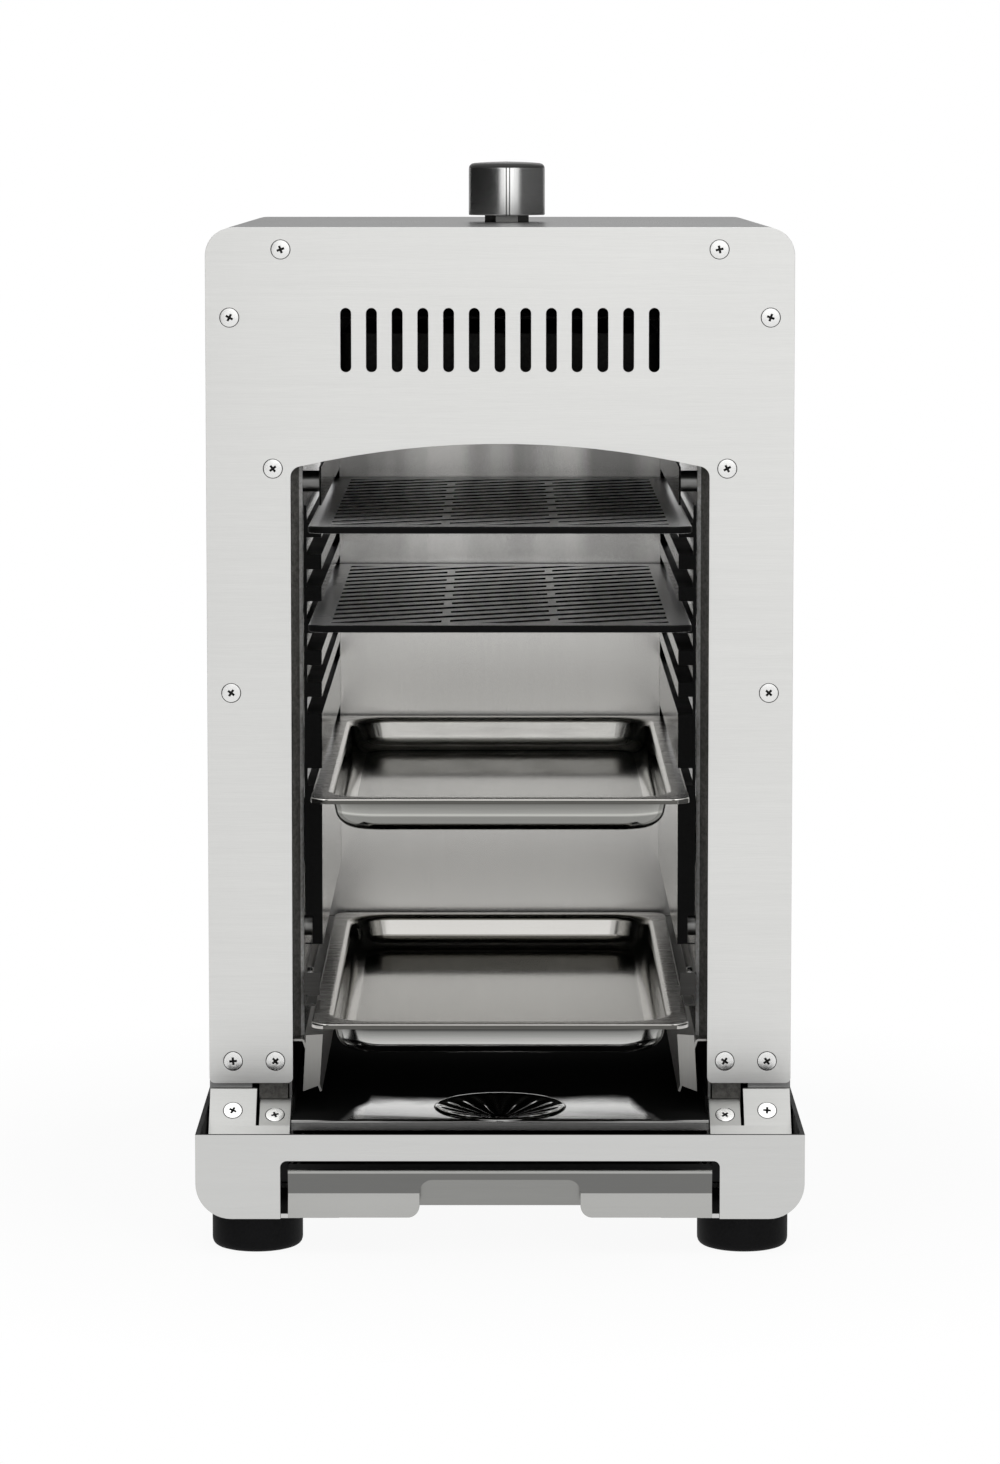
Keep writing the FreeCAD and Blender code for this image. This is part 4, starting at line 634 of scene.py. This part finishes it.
def node_copy(name: str) -> Shape:
    """Copies a CAD node's mesh, joined and with its flat faces made whole.

    Args:
        name: The node.

    Returns:
        The copy.
    """
    shape = bmesh.new()
    shape.from_mesh(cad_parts[name].data)
    bmesh.ops.remove_doubles(shape, verts=shape.verts, dist=WELD)
    bmesh.ops.dissolve_degenerate(shape, edges=shape.edges, dist=WELD / 10)
    bmesh.ops.dissolve_limit(shape, angle_limit=math.radians(0.2), verts=shape.verts,
                             edges=shape.edges)
    assign(shape, lambda face: 0)
    return shape


def divide(shape: Shape, point: Vector, normal: Vector) -> None:
    """Divides the faces of a bmesh along a plane."""
    bmesh.ops.bisect_plane(shape, geom=[*shape.verts, *shape.edges, *shape.faces],
                           plane_co=point, plane_no=normal)


def round_off(shape: Shape, parts: list, radius: float, segments: int,
              affect: str = "EDGES") -> None:
    """Rounds edges, or the corners of a face, of a bmesh."""
    bmesh.ops.bevel(shape, geom=parts, offset=radius, offset_type="OFFSET", segments=segments,
                    profile=0.5, affect=affect, material=-1)


def of_kind(parts: Iterable[object], kind: type) -> list:
    """The parts of an operator's result that are of one kind."""
    return [part for part in parts if isinstance(part, kind)]


def copies(mesh: bpy.types.Mesh, moves: Iterable[Matrix]) -> Shape:
    """Collects moved copies of a mesh.

    Args:
        mesh: The mesh, removed here.
        moves: The move of each copy.

    Returns:
        The bmesh of all the copies.
    """
    shape = bmesh.new()
    for move in moves:
        count = len(shape.verts)
        shape.from_mesh(mesh)
        bmesh.ops.transform(shape, matrix=move, verts=list(shape.verts)[count:])
    bpy.data.meshes.remove(mesh)
    return shape


def turned(profile: list[tuple[float, float]], segments: int) -> Shape:
    """Spins a profile about the Z axis.

    Args:
        profile: Radius and height of each point, from the axis to the axis or open.
        segments: Steps of the spin.

    Returns:
        The spun bmesh.
    """
    shape = bmesh.new()
    verts = [shape.verts.new((radius, 0.0, height)) for radius, height in profile]
    edges = [shape.edges.new(pair) for pair in zip(verts, verts[1:])]
    bmesh.ops.spin(shape, geom=verts + edges, axis=Z_AXIS, cent=(0, 0, 0), angle=math.tau,
                   steps=segments, use_merge=True)
    bmesh.ops.remove_doubles(shape, verts=shape.verts, dist=WELD)
    bmesh.ops.recalc_face_normals(shape, faces=shape.faces)
    return shape


def rounded_profile(corners: list[tuple[float, float, float]],
                    segments: int) -> list[tuple[float, float]]:
    """Rounds the corners of a profile.

    Args:
        corners: Radius, height and rounding of each corner, 0 for a sharp one.
        segments: Segments of each rounding.

    Returns:
        The rounded profile.
    """
    points = [Vector(corner[:2]) for corner in corners]
    result: list[tuple[float, float]] = []
    for index, (corner, (x, y, radius)) in enumerate(zip(points, corners)):
        if radius <= 0:
            result.append((x, y))
            continue
        start = corner + (points[index - 1] - corner).normalized() * radius
        end = corner + (points[index + 1] - corner).normalized() * radius
        for step in range(segments + 1):
            share = step / segments
            spot = start.lerp(corner, share).lerp(corner.lerp(end, share), share)
            result.append((spot.x, spot.y))
    return result


def link(name: str, shape: Shape, body: str, finishes: Iterable[str],
         replaced: Iterable[str] = ()) -> Piece:
    """Makes a finished piece of a bmesh and ties it to the frame.

    Args:
        name: The piece's name.
        shape: Its bmesh, freed here.
        body: The body that it rides on.
        finishes: The names of its finishes.
        replaced: The CAD nodes that it stands for.

    Returns:
        The new object.
    """
    mesh = mesh_of(name, shape)
    for finish in finishes:
        mesh.materials.append(look(finish))
    piece = put(name, mesh)
    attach(piece, body)
    if replaced:
        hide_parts(*replaced)
    LOG.info("%s: %d faces on %s", name, len(mesh.polygons), body)
    return piece


def edged(finish: str, node: str, pick: Optional[Pick] = None,
          others: tuple[str, ...] = (), width: float = 0.0003,
          split: Optional[tuple[Vector, Vector]] = None, body: str = BODY) -> None:
    """Replaces a CAD node by a copy whose edges catch the light.

    Args:
        finish: The name of its first finish.
        node: The CAD node.
        pick: Picks the finish of each face.
        others: The names of its further finishes.
        width: The edge rounding.
        split: A point and the normal of a plane that divides its faces first.
        body: The body that it rides on.
    """
    shape = node_copy(node)
    if split is not None:
        divide(shape, *split)
    if pick is not None:
        assign(shape, pick)
    smooth_by_angle(shape)
    piece = link(node + "_finished", shape, body, (finish, *others), (node,))
    modify(piece, "Soft edges", "BEVEL", width=width, segments=2, limit_method="ANGLE",
           angle_limit=math.radians(35.0))
    flatten(piece)


# Sub-assemblies

@dataclass
class Shelf:
    """A pressed pan with a flat rim, a rounded well and a lip turned down."""

    body: str
    top: float
    wall: str
    shell: str
    half_width: float = 0.088
    front: float = -0.1985
    rear: float = 0.1265
    rim: float = 0.0105
    depth: float = 0.0168
    taper: float = 0.003
    corner: float = 0.009
    well_corner: float = 0.020
    floor_radius: float = 0.0065
    rim_radius: float = 0.0028
    lip: float = 0.0024
    lip_radius: float = 0.0010
    border: float = 0.0012
    sheet: float = 0.0008

    def build(self) -> None:
        """Builds the pan."""
        shape = bmesh.new()
        outer = self.outline(shape, self.sheet, self.corner - self.sheet)
        edges = list(outer.edges)
        bmesh.ops.delete(shape, geom=[outer], context="FACES_ONLY")
        inner = self.outline(shape, self.rim, self.well_corner)
        edges += list(inner.edges)
        bmesh.ops.triangle_fill(shape, use_beauty=True, use_dissolve=False, edges=edges)
        self.press_well(shape, inner)
        self.fold_lip(shape)
        bmesh.ops.recalc_face_normals(shape, faces=shape.faces)
        if min(shape.faces, key=lambda face: face.calc_center_median().z).normal.z < 0:
            bmesh.ops.reverse_faces(shape, faces=shape.faces)
        assign(shape, self.finish_of)
        smooth_by_angle(shape, 50.0)
        # The floor, rim and lip, and the lower pan's walls, are darker copies of the pan steel as
        # painted shade and reflection
        inside = (self.wall, "pan_floor", "pan_rim", "pan_lip")
        outside = (self.shell, "pan_steel", "pan_rim", "pan_lip")
        piece = link(self.body + "_pressed", shape, self.body,
                     inside + outside, (self.body,))
        modify(piece, "Sheet", "SOLIDIFY", material_offset=len(inside), thickness=self.sheet,
               offset=-1.0)
        flatten(piece)

    def outline(self, shape: Shape, inset: float, radius: float) -> Face:
        """Adds the pan's outline as a flat face with four round corners.

        Args:
            shape: The pan's bmesh.
            inset: How far the face is drawn in.
            radius: Corner radius.

        Returns:
            The face.
        """
        front, rear, before = self.front + inset, self.rear - inset, set(shape.faces)
        verts = bmesh.ops.create_grid(shape, x_segments=1, y_segments=1, size=1.0)["verts"]
        bmesh.ops.scale(shape, vec=(self.half_width - inset, (rear - front) / 2, 1.0), verts=verts)
        bmesh.ops.translate(shape, vec=(0.0, (front + rear) / 2, self.top), verts=verts)
        round_off(shape, verts, radius, 10, "VERTICES")
        return max((face for face in shape.faces if face not in before),
                   key=lambda face: len(face.verts))

    def press_well(self, shape: Shape, inner: Face) -> None:
        """Presses the well down from a face and rounds its floor and its edge.

        Args:
            shape: The pan's bmesh.
            inner: The face over the well.
        """
        made = bmesh.ops.extrude_face_region(shape, geom=[inner])["geom"]
        floor, verts = of_kind(made, Face)[0], of_kind(made, bmesh.types.BMVert)
        shape.faces.remove(inner)
        middle = Vector((0.0, (self.front + self.rear) / 2, 0.0))
        width = self.half_width - self.rim
        length = (self.rear - self.front) / 2 - self.rim
        bmesh.ops.translate(shape, vec=(0, 0, self.sheet - self.depth), verts=verts)
        bmesh.ops.scale(shape, vec=((width - self.taper) / width,
                                    (length - self.taper) / length, 1.0),
                        verts=verts, space=Matrix.Translation(-middle))
        round_off(shape, list(floor.edges), self.floor_radius, 8)
        brink = [edge for edge in shape.edges if len(edge.link_faces) == 2
                 and all(abs(vert.co.z - self.top) < WELD for vert in edge.verts)
                 and any(abs(face.normal.z) < 0.9 for face in edge.link_faces)]
        round_off(shape, brink, self.rim_radius, 6)

    def fold_lip(self, shape: Shape) -> None:
        """Turns the border of the rim down and rounds the fold.

        Args:
            shape: The pan's bmesh.
        """
        border = [edge for edge in shape.edges if edge.is_boundary]
        made = bmesh.ops.extrude_edge_only(shape, edges=border)["geom"]
        bmesh.ops.translate(shape, vec=(0, 0, -self.lip), verts=of_kind(made, bmesh.types.BMVert))
        round_off(shape, [edge for edge in border if edge.is_valid], self.lip_radius, 4)

    def finish_of(self, face: Face) -> int:
        """The flat floor, the rim's top and the lip turned down have darker finishes of their own,
        as painted shade and reflection.

        Args:
            face: The face.

        Returns:
            The number of its finish.
        """
        middle = face.calc_center_median()
        if face.normal.z > 0.99:
            return 2 if middle.z > self.top - 0.001 else 1
        border = self.border
        outside = (abs(middle.x) > self.half_width - border or middle.y < self.front + border
                   or middle.y > self.rear - border)
        lit = abs(face.normal.z) > 0.5 and abs(middle.x) < self.half_width - self.corner
        return 3 if outside and not lit else 0


@dataclass
class ScrewSet:
    """Countersunk screws with cross recesses, each in its own turn."""

    node: str
    places: list[Place]
    head: float = 0.0087
    shank: float = 0.0050
    length: float = 0.010
    recess: float = 0.0050
    cross_depth: float = 0.0018

    def one(self) -> Shape:
        """Builds one screw along +Z with the top of its head at the origin.

        Returns:
            The screw.
        """
        shank, head = self.shank / 2, self.head / 2
        profile = rounded_profile(
            [(0.0, -self.length, 0), (shank, -self.length, 0), (shank, shank - head, 0),
             (head, -0.0003, 0), (head, 0.0, 0.0002), (0.0, 0.00005, 0)], 3)
        return turned(profile, 48)

    def recess_cutter(self) -> Shape:
        """Builds the tapered cross that is cut into a head.

        Returns:
            The cutter.
        """
        shape = bmesh.new()
        for turn in (0.0, math.pi / 2):
            verts = bmesh.ops.create_cube(shape, size=1.0)["verts"]
            bmesh.ops.scale(shape, vec=(self.recess, self.recess * 0.24, self.cross_depth * 2),
                            verts=verts)
            low = [vert for vert in verts if vert.co.z < 0]
            bmesh.ops.scale(shape, vec=(0.45, 0.8, 1.0), verts=low)
            bmesh.ops.rotate(shape, verts=verts, cent=(0, 0, 0),
                             matrix=Matrix.Rotation(turn, 3, "Z"))
        return shape

    def build(self) -> None:
        """Builds the whole set as one piece."""
        head = put("seed", mesh_of("seed", self.one()))
        cross = put("cross", mesh_of("cross", self.recess_cutter()))
        modify(head, "Cross", "BOOLEAN", operation="DIFFERENCE", solver="EXACT", use_self=True,
               object=cross)
        bpy.context.view_layer.update()
        whole = head.evaluated_get(bpy.context.evaluated_depsgraph_get())
        single = bpy.data.meshes.new_from_object(whole)
        for helper in (head, cross):
            bpy.data.objects.remove(helper)
        # The floor of each cross recess is dark with painted shade
        for face in single.polygons:
            inside = face.center.xy.length < self.recess * 0.62
            face.material_index = int(inside and -self.cross_depth - 0.0001 < face.center.z < 0)
        moves = [Matrix.Translation(position) @ normal.to_track_quat("Z", "Y").to_matrix().to_4x4()
                 @ Matrix.Rotation(spin, 4, "Z") for position, normal, spin in self.places]
        shape = copies(single, moves)
        smooth_by_angle(shape, 30.0)
        link(self.node.removeprefix("front_") + "_cross", shape, BODY,
             ("screw_steel", "recess_painted_shade"), (self.node,))


@dataclass
class FrontPlate:
    """Brushed plate with the arched opening and its twelve screws."""

    face_y: float = -0.1395

    def build(self) -> None:
        """Builds the plate and its screws."""
        # The sloping walls of the countersinks are dark with painted shade
        edged("brushed_plate", "front_plate",
              lambda face: int(0.3 < abs(face.normal.y) < 0.9
                               and abs(face.normal.x) + abs(face.normal.z) > 0.4),
              ("recess_painted_shade",), 0.0004)
        ScrewSet("front_plate_screws", self.screw_places()).build()

    def screw_places(self) -> list[Place]:
        """Position, normal and turn of each screw.

        Returns:
            The screws' places.
        """
        spots = ((0.1023, 0.4597), (0.1263, 0.428), (0.1063, 0.3574), (0.1263, 0.2518),
                 (0.1263, 0.0765), (0.1063, 0.0765))
        turns = iter((20, 62, 38, 55, 5, 40, 12, 70, 28, 48, 33, 57))
        return [(Vector((side * reach, self.face_y - 0.0001, height)), Vector((0, -1, 0)),
                 math.radians(next(turns))) for side in SIDES for reach, height in spots]


@dataclass
class Cavity:
    """Side walls, back wall, slotted racks, rails and deflectors."""

    flange_middle: float = 0.0947
    flange_rear: float = -0.1

    def build(self) -> None:
        """Copies the pieces whose edges show and dresses the rest."""
        for side, sign in (("left", -1.0), ("right", 1.0)):
            # The liner's front flange is split into a half of painted light and a half of painted
            # shade
            edged("liner_steel", side + "_side_liner", self.slanted_face,
                  ("liner_painted_light", "liner_painted_shade"), FINE_EDGE,
                  (X_AXIS * sign * self.flange_middle, X_AXIS))
            # The racks are bright on their flat sides, dark on their flanges, ledges and cuts
            edged("rack_steel", side + "_side_rack",
                  lambda face: int(abs(face.normal.x) <= 0.9), ("rack_dark",), FINE_EDGE)
            edged("rail_steel", side + "_lower_pan_rail", width=FINE_EDGE)
            edged("deflector_steel", side + "_drip_deflector", width=FINE_EDGE)
        edged("back_wall_steel", "back_liner")
        # The spacers take the dark inner steel as painted shade in the gap beside the racks
        dress("inner_steel", "rack_spacers")
        dress("screw_steel", "wall_screws")

    def slanted_face(self, face: Face) -> int:
        """The liner's front flange is lighter on its inner half as painted light, and dark beside
        the plate as painted shade.

        Args:
            face: The face.

        Returns:
            The number of its finish.
        """
        middle = face.calc_center_median()
        if face.normal.y > -0.3 or middle.y > self.flange_rear:
            return 0
        return 2 if abs(middle.x) > self.flange_middle else 1


@dataclass
class Grates:
    """The two slotted grates."""

    def build(self) -> None:
        """Copies each grate, with the walls of its slots and its front fold dark."""
        for node in ("upper_grate", "lower_grate"):
            edged("grate_steel", node,
                  lambda face: int(abs(face.normal.z) < 0.5 or face.normal.y < -0.15),
                  ("cut_edge",), FINE_EDGE, body=node)


@dataclass
class Base:
    """Base frame, corner plates, sump, drawer, feet and what lies under the cavity."""

    foot_radius: float = 0.021
    foot_height: float = 0.0165
    foot_bore: float = 0.0026
    foot_seat: float = 0.0070
    foot_floor: float = 0.0090
    foot_x: float = 0.1125
    foot_ys: tuple[float, float] = (-0.1865, 0.17)
    frame_top: float = 0.0415
    frame_middle: tuple[float, float, float] = (0.0, -0.008, 0.036)
    flap_fold: tuple[float, float] = (-0.1485, 0.0487)
    flap_reach: float = 0.006
    sump_front: float = -0.151
    drawer_front: float = -0.2
    drawer_edge: float = -0.2085
    funnel_y: float = -0.1215
    funnel_top: float = 0.0513
    funnel_depth: float = 0.0056
    mouth: float = 0.0290
    drain: float = 0.0050
    flutes: int = 18
    swell: float = 0.00035

    def build(self) -> None:
        """Builds and dresses the base."""
        edged("base_steel", "base_frame", self.frame_side, ("base_painted_shade",), 0.0004)
        for side in ("left", "right"):
            # Below the frame's top the corner plates are painted dark as painted shade
            edged("flap_steel", side + "_corner_plate", self.flap_sink,
                  ("recess_painted_shade", "base_painted_shade"), split=(Z_AXIS * self.frame_top, Z_AXIS))
        # The sump's front lip stands in the frame's shade, painted into its darker finish
        edged("sump_steel", "sump_pan",
              lambda face: int(face.normal.y < -0.5
                               and face.calc_center_median().y < self.sump_front),
              ("sump_lip",))
        self.funnel()
        edged("base_steel", "drip_drawer", self.drawer_band,
              ("drawer_painted_shade", "drawer_painted_light", "tray_steel", "base_painted_shade"),
              body="drip_drawer")
        self.feet()
        ScrewSet("corner_screws", self.corner_places(), length=0.012).build()
        dress("inner_steel", "left_chassis_side", "right_chassis_side",
              "left_drawer_runner", "right_drawer_runner", "corner_posts")
        dress("screw_steel", "foot_screws", "foot_nuts", "rear_screws")

    def frame_side(self, face: Face) -> int:
        """The frame is polished outside, and its rims and inside are painted dark as painted shade.
        """
        outward = face.calc_center_median() - Vector(self.frame_middle)
        return int(face.normal.z > 0.9 or outward.dot(face.normal) < 0)

    def drawer_band(self, face: Face) -> int:
        """The drawer's folded front has a dark band of painted shade and a lighter band of painted
        light, and its plain tray is a darker tone as painted shade.

        Args:
            face: The face.

        Returns:
            The number of its finish.
        """
        middle = face.calc_center_median()
        if face.normal.y < -0.9:
            if middle.y > self.drawer_front:
                return 3
            return 1 if face.normal.z < 0 else 2
        # The drawer's top flange behind its front is painted dark as painted shade
        return 4 if middle.y > self.drawer_edge and face.normal.z > 0.9 else 3

    def flap_sink(self, face: Face) -> int:
        """The flaps' countersinks, which no fold is parallel to, and what the frame hides are
        painted dark as painted shade.

        Args:
            face: The face.

        Returns:
            The number of its finish.
        """
        if face.calc_center_median().z < self.frame_top:
            return 2
        return int(0.25 < abs(face.normal.x) < 0.9)

    def funnel(self) -> None:
        """Presses the drain funnel's rolled edge and radial flutes over its plain cone."""
        width = self.mouth - self.drain
        cone = [(self.mouth - width * step / 12, self.funnel_top - self.funnel_depth * step / 12)
                for step in range(13)]
        rolled_edge = [(0.0316, 0.0508), (0.0313, 0.0514), (0.0306, 0.0519), (0.0298, 0.0517)]
        spout = [(0.0042, 0.0450), (0.0040, 0.0436)]
        shape = turned([*rolled_edge, *cone, *spout], 216)
        for vert in shape.verts:
            reach = vert.co.xy.length - self.drain
            if 0 < reach < width:
                wave = math.cos(self.flutes * math.atan2(vert.co.y, vert.co.x))
                vert.co.z += self.swell * math.sin(math.pi * reach / width) ** 0.6 * wave
        if sum(face.normal.z for face in shape.faces) < 0:
            bmesh.ops.reverse_faces(shape, faces=shape.faces)
        bmesh.ops.translate(shape, verts=shape.verts, vec=(0.0, self.funnel_y, 0.0))
        for face in shape.faces:
            face.smooth = True
        link("sump_funnel_pressed", shape, BODY, ("funnel_steel",))

    def corner_places(self) -> list[Place]:
        """Position, normal and turn of each screw of the corner plates.

        Returns:
            The screws' places.
        """
        places, (fold_y, fold_z) = [], self.flap_fold
        for side in SIDES:
            for reach, angle, spin in ((0.10615, 33.0, 30.0), (0.126, 45.0, 74.0)):
                slope = math.radians(angle)
                normal = Vector((0.0, -math.sin(slope), math.cos(slope)))
                spot = Vector((side * reach, fold_y, fold_z + self.flap_reach * math.tan(slope)))
                places.append((spot + normal * 0.0001, normal, math.radians(spin + 11 * side)))
        return places

    def feet(self) -> None:
        """Builds the four moulded rubber feet as one piece."""
        radius, height, bore = self.foot_radius, self.foot_height, self.foot_bore
        seat, floor = self.foot_seat, self.foot_floor
        profile = rounded_profile(
            [(bore, height, 0), (radius, height, 0.0006), (radius, 0.0, 0.0040),
             (seat, 0.0, 0.0005), (seat, floor, 0), (bore, floor, 0), (bore, height, 0)], 6)
        shape = copies(mesh_of("foot", turned(profile, 72)),
                       [Matrix.Translation((side * self.foot_x, y, 0.0))
                        for side in SIDES for y in self.foot_ys])
        smooth_by_angle(shape, 40.0)
        link("rubber_feet_moulded", shape, BODY, ("foot_rubber",),
             ("rubber_feet",))


@dataclass
class Housing:
    """Roof and sides in one sheet, and the rear cover."""

    def build(self) -> None:
        """Builds the housing's visible sheets."""
        for node in ("outer_housing", "rear_cover"):
            edged("housing_steel", node)


INSIDE = {
    "burnt_steel": ("burner_deck", "burner_housing", "tile_frame", "heat_shield"),
    "inner_steel": ("mixing_tube", "gas_pipe", "inlet_pipe", "flame_sensor", "valve_stem",
                    "valve_nut"),
    "tile_ceramic": ("ceramic_tiles",),
    "glazed_ceramic": ("ignition_electrode",),
    "fibre_felt": ("burner_gasket",),
    "valve_brass": ("jet_holder", "gas_jet", "gas_inlet", "valve_body", "valve_cap", "valve_plug"),
    "lead_sheath": ("ignition_lead", "sensor_lead"),
    "spark_case": ("spark_unit",),
    "screw_steel": ("inlet_nut", "knob_grub_screw"),
}


@dataclass
class GasLine:
    """Burner, pipes, valve, leads and the knob on the roof."""

    centre: tuple[float, float] = (0.0034, 0.0255)
    radius: float = 0.019
    low: float = 0.4734
    high: float = 0.5000
    bore: float = 0.0031
    bore_depth: float = 0.0040
    hollow: float = 0.0135
    hollow_depth: float = 0.0066
    pointer: tuple[float, float] = (-0.0003, 0.0014)
    pointer_width: float = 0.0005
    pointer_depth: float = 0.0006
    crown: float = 0.0042
    spring_foot: float = 0.4570
    push: float = 0.003

    def build(self) -> None:
        """Builds the knob and its spring, and dresses what lies inside."""
        self.knob()
        self.spring()
        for finish, nodes in INSIDE.items():
            dress(finish, *nodes)

    def knob(self) -> None:
        """Spins the knob, crowned on top and hollow below, and sinks its pointer groove."""
        radius, low, high = self.radius, self.low, self.high
        ceiling, end = low + self.hollow_depth, high - self.bore_depth
        outside = rounded_profile(
            [(self.bore, ceiling, 0), (self.hollow, ceiling, 0.0010), (self.hollow, low, 0.0004),
             (radius, low, 0.0006), (radius, high - 0.0010, 0.0030),
             (radius * 0.6, high - 0.0003, 0.0050), (0.0, high, 0)], 6)
        shape = turned([(0.0, end), (self.bore, end), *outside], 128)
        for line in self.pointer:
            for half in (-self.pointer_width / 2, self.pointer_width / 2):
                divide(shape, X_AXIS * (line + half), X_AXIS)
        left, right = self.pointer
        for vert in shape.verts:
            between = left < vert.co.x < right and vert.co.y < 0
            if between and vert.co.xy.length > 0.92 * radius and vert.co.z < high - self.crown:
                vert.co.y += self.pointer_depth
        shape.normal_update()
        assign(shape, self.knob_finish)
        smooth_by_angle(shape, 30.0)
        bmesh.ops.translate(shape, verts=shape.verts, vec=(*self.centre, 0.0))
        link("control_knob_turned", shape, "knob",
             ("knob_metal", "knob_crown_painted_shade", "recess_painted_shade"), ("control_knob",))

    def knob_finish(self, face: Face) -> int:
        """The knob's crown is painted dark as a painted dark reflection, and the walls of the
        pointer groove at its front are dark as painted shade.

        Args:
            face: The face.

        Returns:
            The number of its finish.
        """
        middle = face.calc_center_median()
        if middle.z > self.low + 0.01 and face.normal.z > 0.3:
            return 1
        beside = min(abs(middle.x - line) for line in self.pointer)
        return 2 if beside < self.pointer_width / 2 and middle.y < -0.9 * self.radius else 0

    def spring(self) -> None:
        """Stands for the knob's spring with a smooth copy that has a mesh of its own."""
        shape = bmesh.new()
        shape.from_mesh(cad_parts["knob_spring"].data)
        smooth_by_angle(shape, 50.0)
        piece = link("knob_spring_wound", shape, BODY, ("spring_steel",),
                     ("knob_spring",))
        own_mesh(piece)


@dataclass
class Studio:
    """Floor, soft light and the camera at the photograph's viewing angle."""

    lens: float = 117.61
    distance: float = 2.1629
    front: float = -0.2095
    height: float = 0.50794
    tilt: float = 5.2576
    lift: float = -0.1
    card_x: float = 1.0
    card_rear: float = 1.6
    card_height: float = 1.3
    floor_size: float = 6.0

    def build(self) -> None:
        """Builds the whole studio."""
        self.camera()
        self.floor()
        self.card("Left_card", -1, -2.6, 0.02)
        self.card("Right_card", 1, -1.3, 0.13)
        self.world()
        for lamp in Lamp:
            self.lamp(lamp)
        bpy.context.scene.view_settings.view_transform = "Standard"

    def camera(self) -> None:
        """Places the camera."""
        data = bpy.data.cameras.new("Camera")
        data.lens, data.sensor_width, data.shift_y = self.lens, 36.0, self.lift
        camera = put("Camera", data)
        camera.location = (0.0, self.front - self.distance, self.height)
        camera.rotation_euler = (math.radians(90.0 - self.tilt), 0.0, 0.0)
        bpy.context.scene.camera = camera

    def floor(self) -> None:
        """Lays a white floor that keeps the grill's shadow."""
        shape = bmesh.new()
        bmesh.ops.create_grid(shape, x_segments=1, y_segments=1, size=self.floor_size)
        plane = put("Floor", mesh_of("Floor", shape))
        material, tree, paint = self.matt("pale_floor", 0.9)
        place = add_node(tree, "TexCoord").outputs["Object"]
        away = with_vector(tree, "LENGTH", place).outputs["Value"]
        seen = calculate(tree, "MULTIPLY", self.seen_directly(tree),
                         mapped(tree, away, 0.22, 0.42, 0.93, 1.0))
        glow = add_node(tree, "Emission", Color=WHITE)
        mix = add_node(tree, "MixShader", seen, paint.outputs[0], glow.outputs[0])
        feed(tree, tree.nodes["Material Output"], Surface=mix.outputs[0])
        plane.data.materials.append(material)

    def card(self, name: str, side: int, front: float, tone: float) -> None:
        """Stands a dark card beside the grill, so that round metal has dark flanks.

        Args:
            name: The card's name.
            side: -1 for the left, 1 for the right.
            front: The place of its front edge.
            tone: Its grey.
        """
        shape = bmesh.new()
        verts = bmesh.ops.create_grid(shape, x_segments=1, y_segments=1, size=1.0)["verts"]
        bmesh.ops.rotate(shape, verts=verts, cent=(0, 0, 0),
                         matrix=Matrix.Rotation(math.pi / 2, 3, "Y"))
        reach = (self.card_rear - front) / 2
        bmesh.ops.scale(shape, vec=(1.0, reach, self.card_height / 2), verts=verts)
        bmesh.ops.translate(shape, vec=(side * self.card_x, front + reach, self.card_height / 2),
                            verts=verts)
        mesh = mesh_of(name, shape)
        mesh.materials.append(self.matt(name, tone)[0])
        card = put(name, mesh)
        card.visible_camera = False

    @staticmethod
    def matt(name: str, tone: float) -> tuple[bpy.types.Material, Tree, Node]:
        """Starts a material as matt grey paint.

        Args:
            name: Its name.
            tone: Its grey.

        Returns:
            The material, its node tree and its main shader.
        """
        material, tree, paint = new_material(name)
        feed(tree, paint, Base_Color=(tone, tone, tone, 1.0), Roughness=1.0, Specular_IOR_Level=0.0)
        return material, tree, paint

    @staticmethod
    def seen_directly(tree: Tree) -> Socket:
        """A mask of the rays that see the background: the camera's and those in metal or glass.

        Args:
            tree: The node tree.

        Returns:
            The mask's socket.
        """
        path = add_node(tree, "LightPath").outputs
        either = calculate(tree, "MAXIMUM", path["Is Camera Ray"], path["Is Glossy Ray"])
        return calculate(tree, "MAXIMUM", either, path["Is Transmission Ray"])

    def world(self) -> None:
        """Lights the room plainly and shows white behind the grill."""
        world = bpy.data.worlds.new("Studio")
        bpy.context.scene.world = world
        world.use_nodes = True
        tree = world.node_tree
        tree.nodes.clear()
        height = axis(tree, add_node(tree, "TexCoord").outputs["Generated"], "Z")
        tone = ramp(tree, height, (0.0, (0.82, 0.82, 0.82)), (0.55, (1.0, 1.0, 1.0)))
        room = add_node(tree, "Background", Color=tone, Strength=0.85)
        white = add_node(tree, "Background", Color=WHITE, Strength=1.0)
        mix = add_node(tree, "MixShader", self.seen_directly(tree), room.outputs[0],
                       white.outputs[0])
        add_node(tree, "OutputWorld", Surface=mix.outputs[0])

    def lamp(self, lamp: Lamp) -> None:
        """Hangs one soft lamp.

        Args:
            lamp: The lamp.
        """
        position, target, size, power = lamp.value
        data = bpy.data.lights.new(lamp.name.title(), "AREA")
        data.shape = "RECTANGLE"
        data.size, data.size_y = size
        data.energy = power
        light = put(lamp.name.title(), data)
        light.location = position
        aim = Vector(target) - Vector(position)
        light.rotation_euler = aim.to_track_quat("-Z", "Y").to_euler()
        light.visible_camera = False


def main() -> None:
    """Builds the grill and its studio."""
    logging.basicConfig(level=logging.INFO, format="%(name)s: %(message)s")
    Studio().build()
    for group in (Housing, FrontPlate, Cavity, Grates):
        group().build()
    Shelf("upper_pan", 0.2095, "pan_steel", "upper_shell").build()
    # The lower pan's walls are a darker copy of the pan steel as painted shade, and its outside a
    # lighter one as painted light
    Shelf("lower_pan", 0.1050, "low_pan_painted_shade", "lower_shell").build()
    Base().build()
    GasLine().build()


if __name__ == "__main__":
    main()
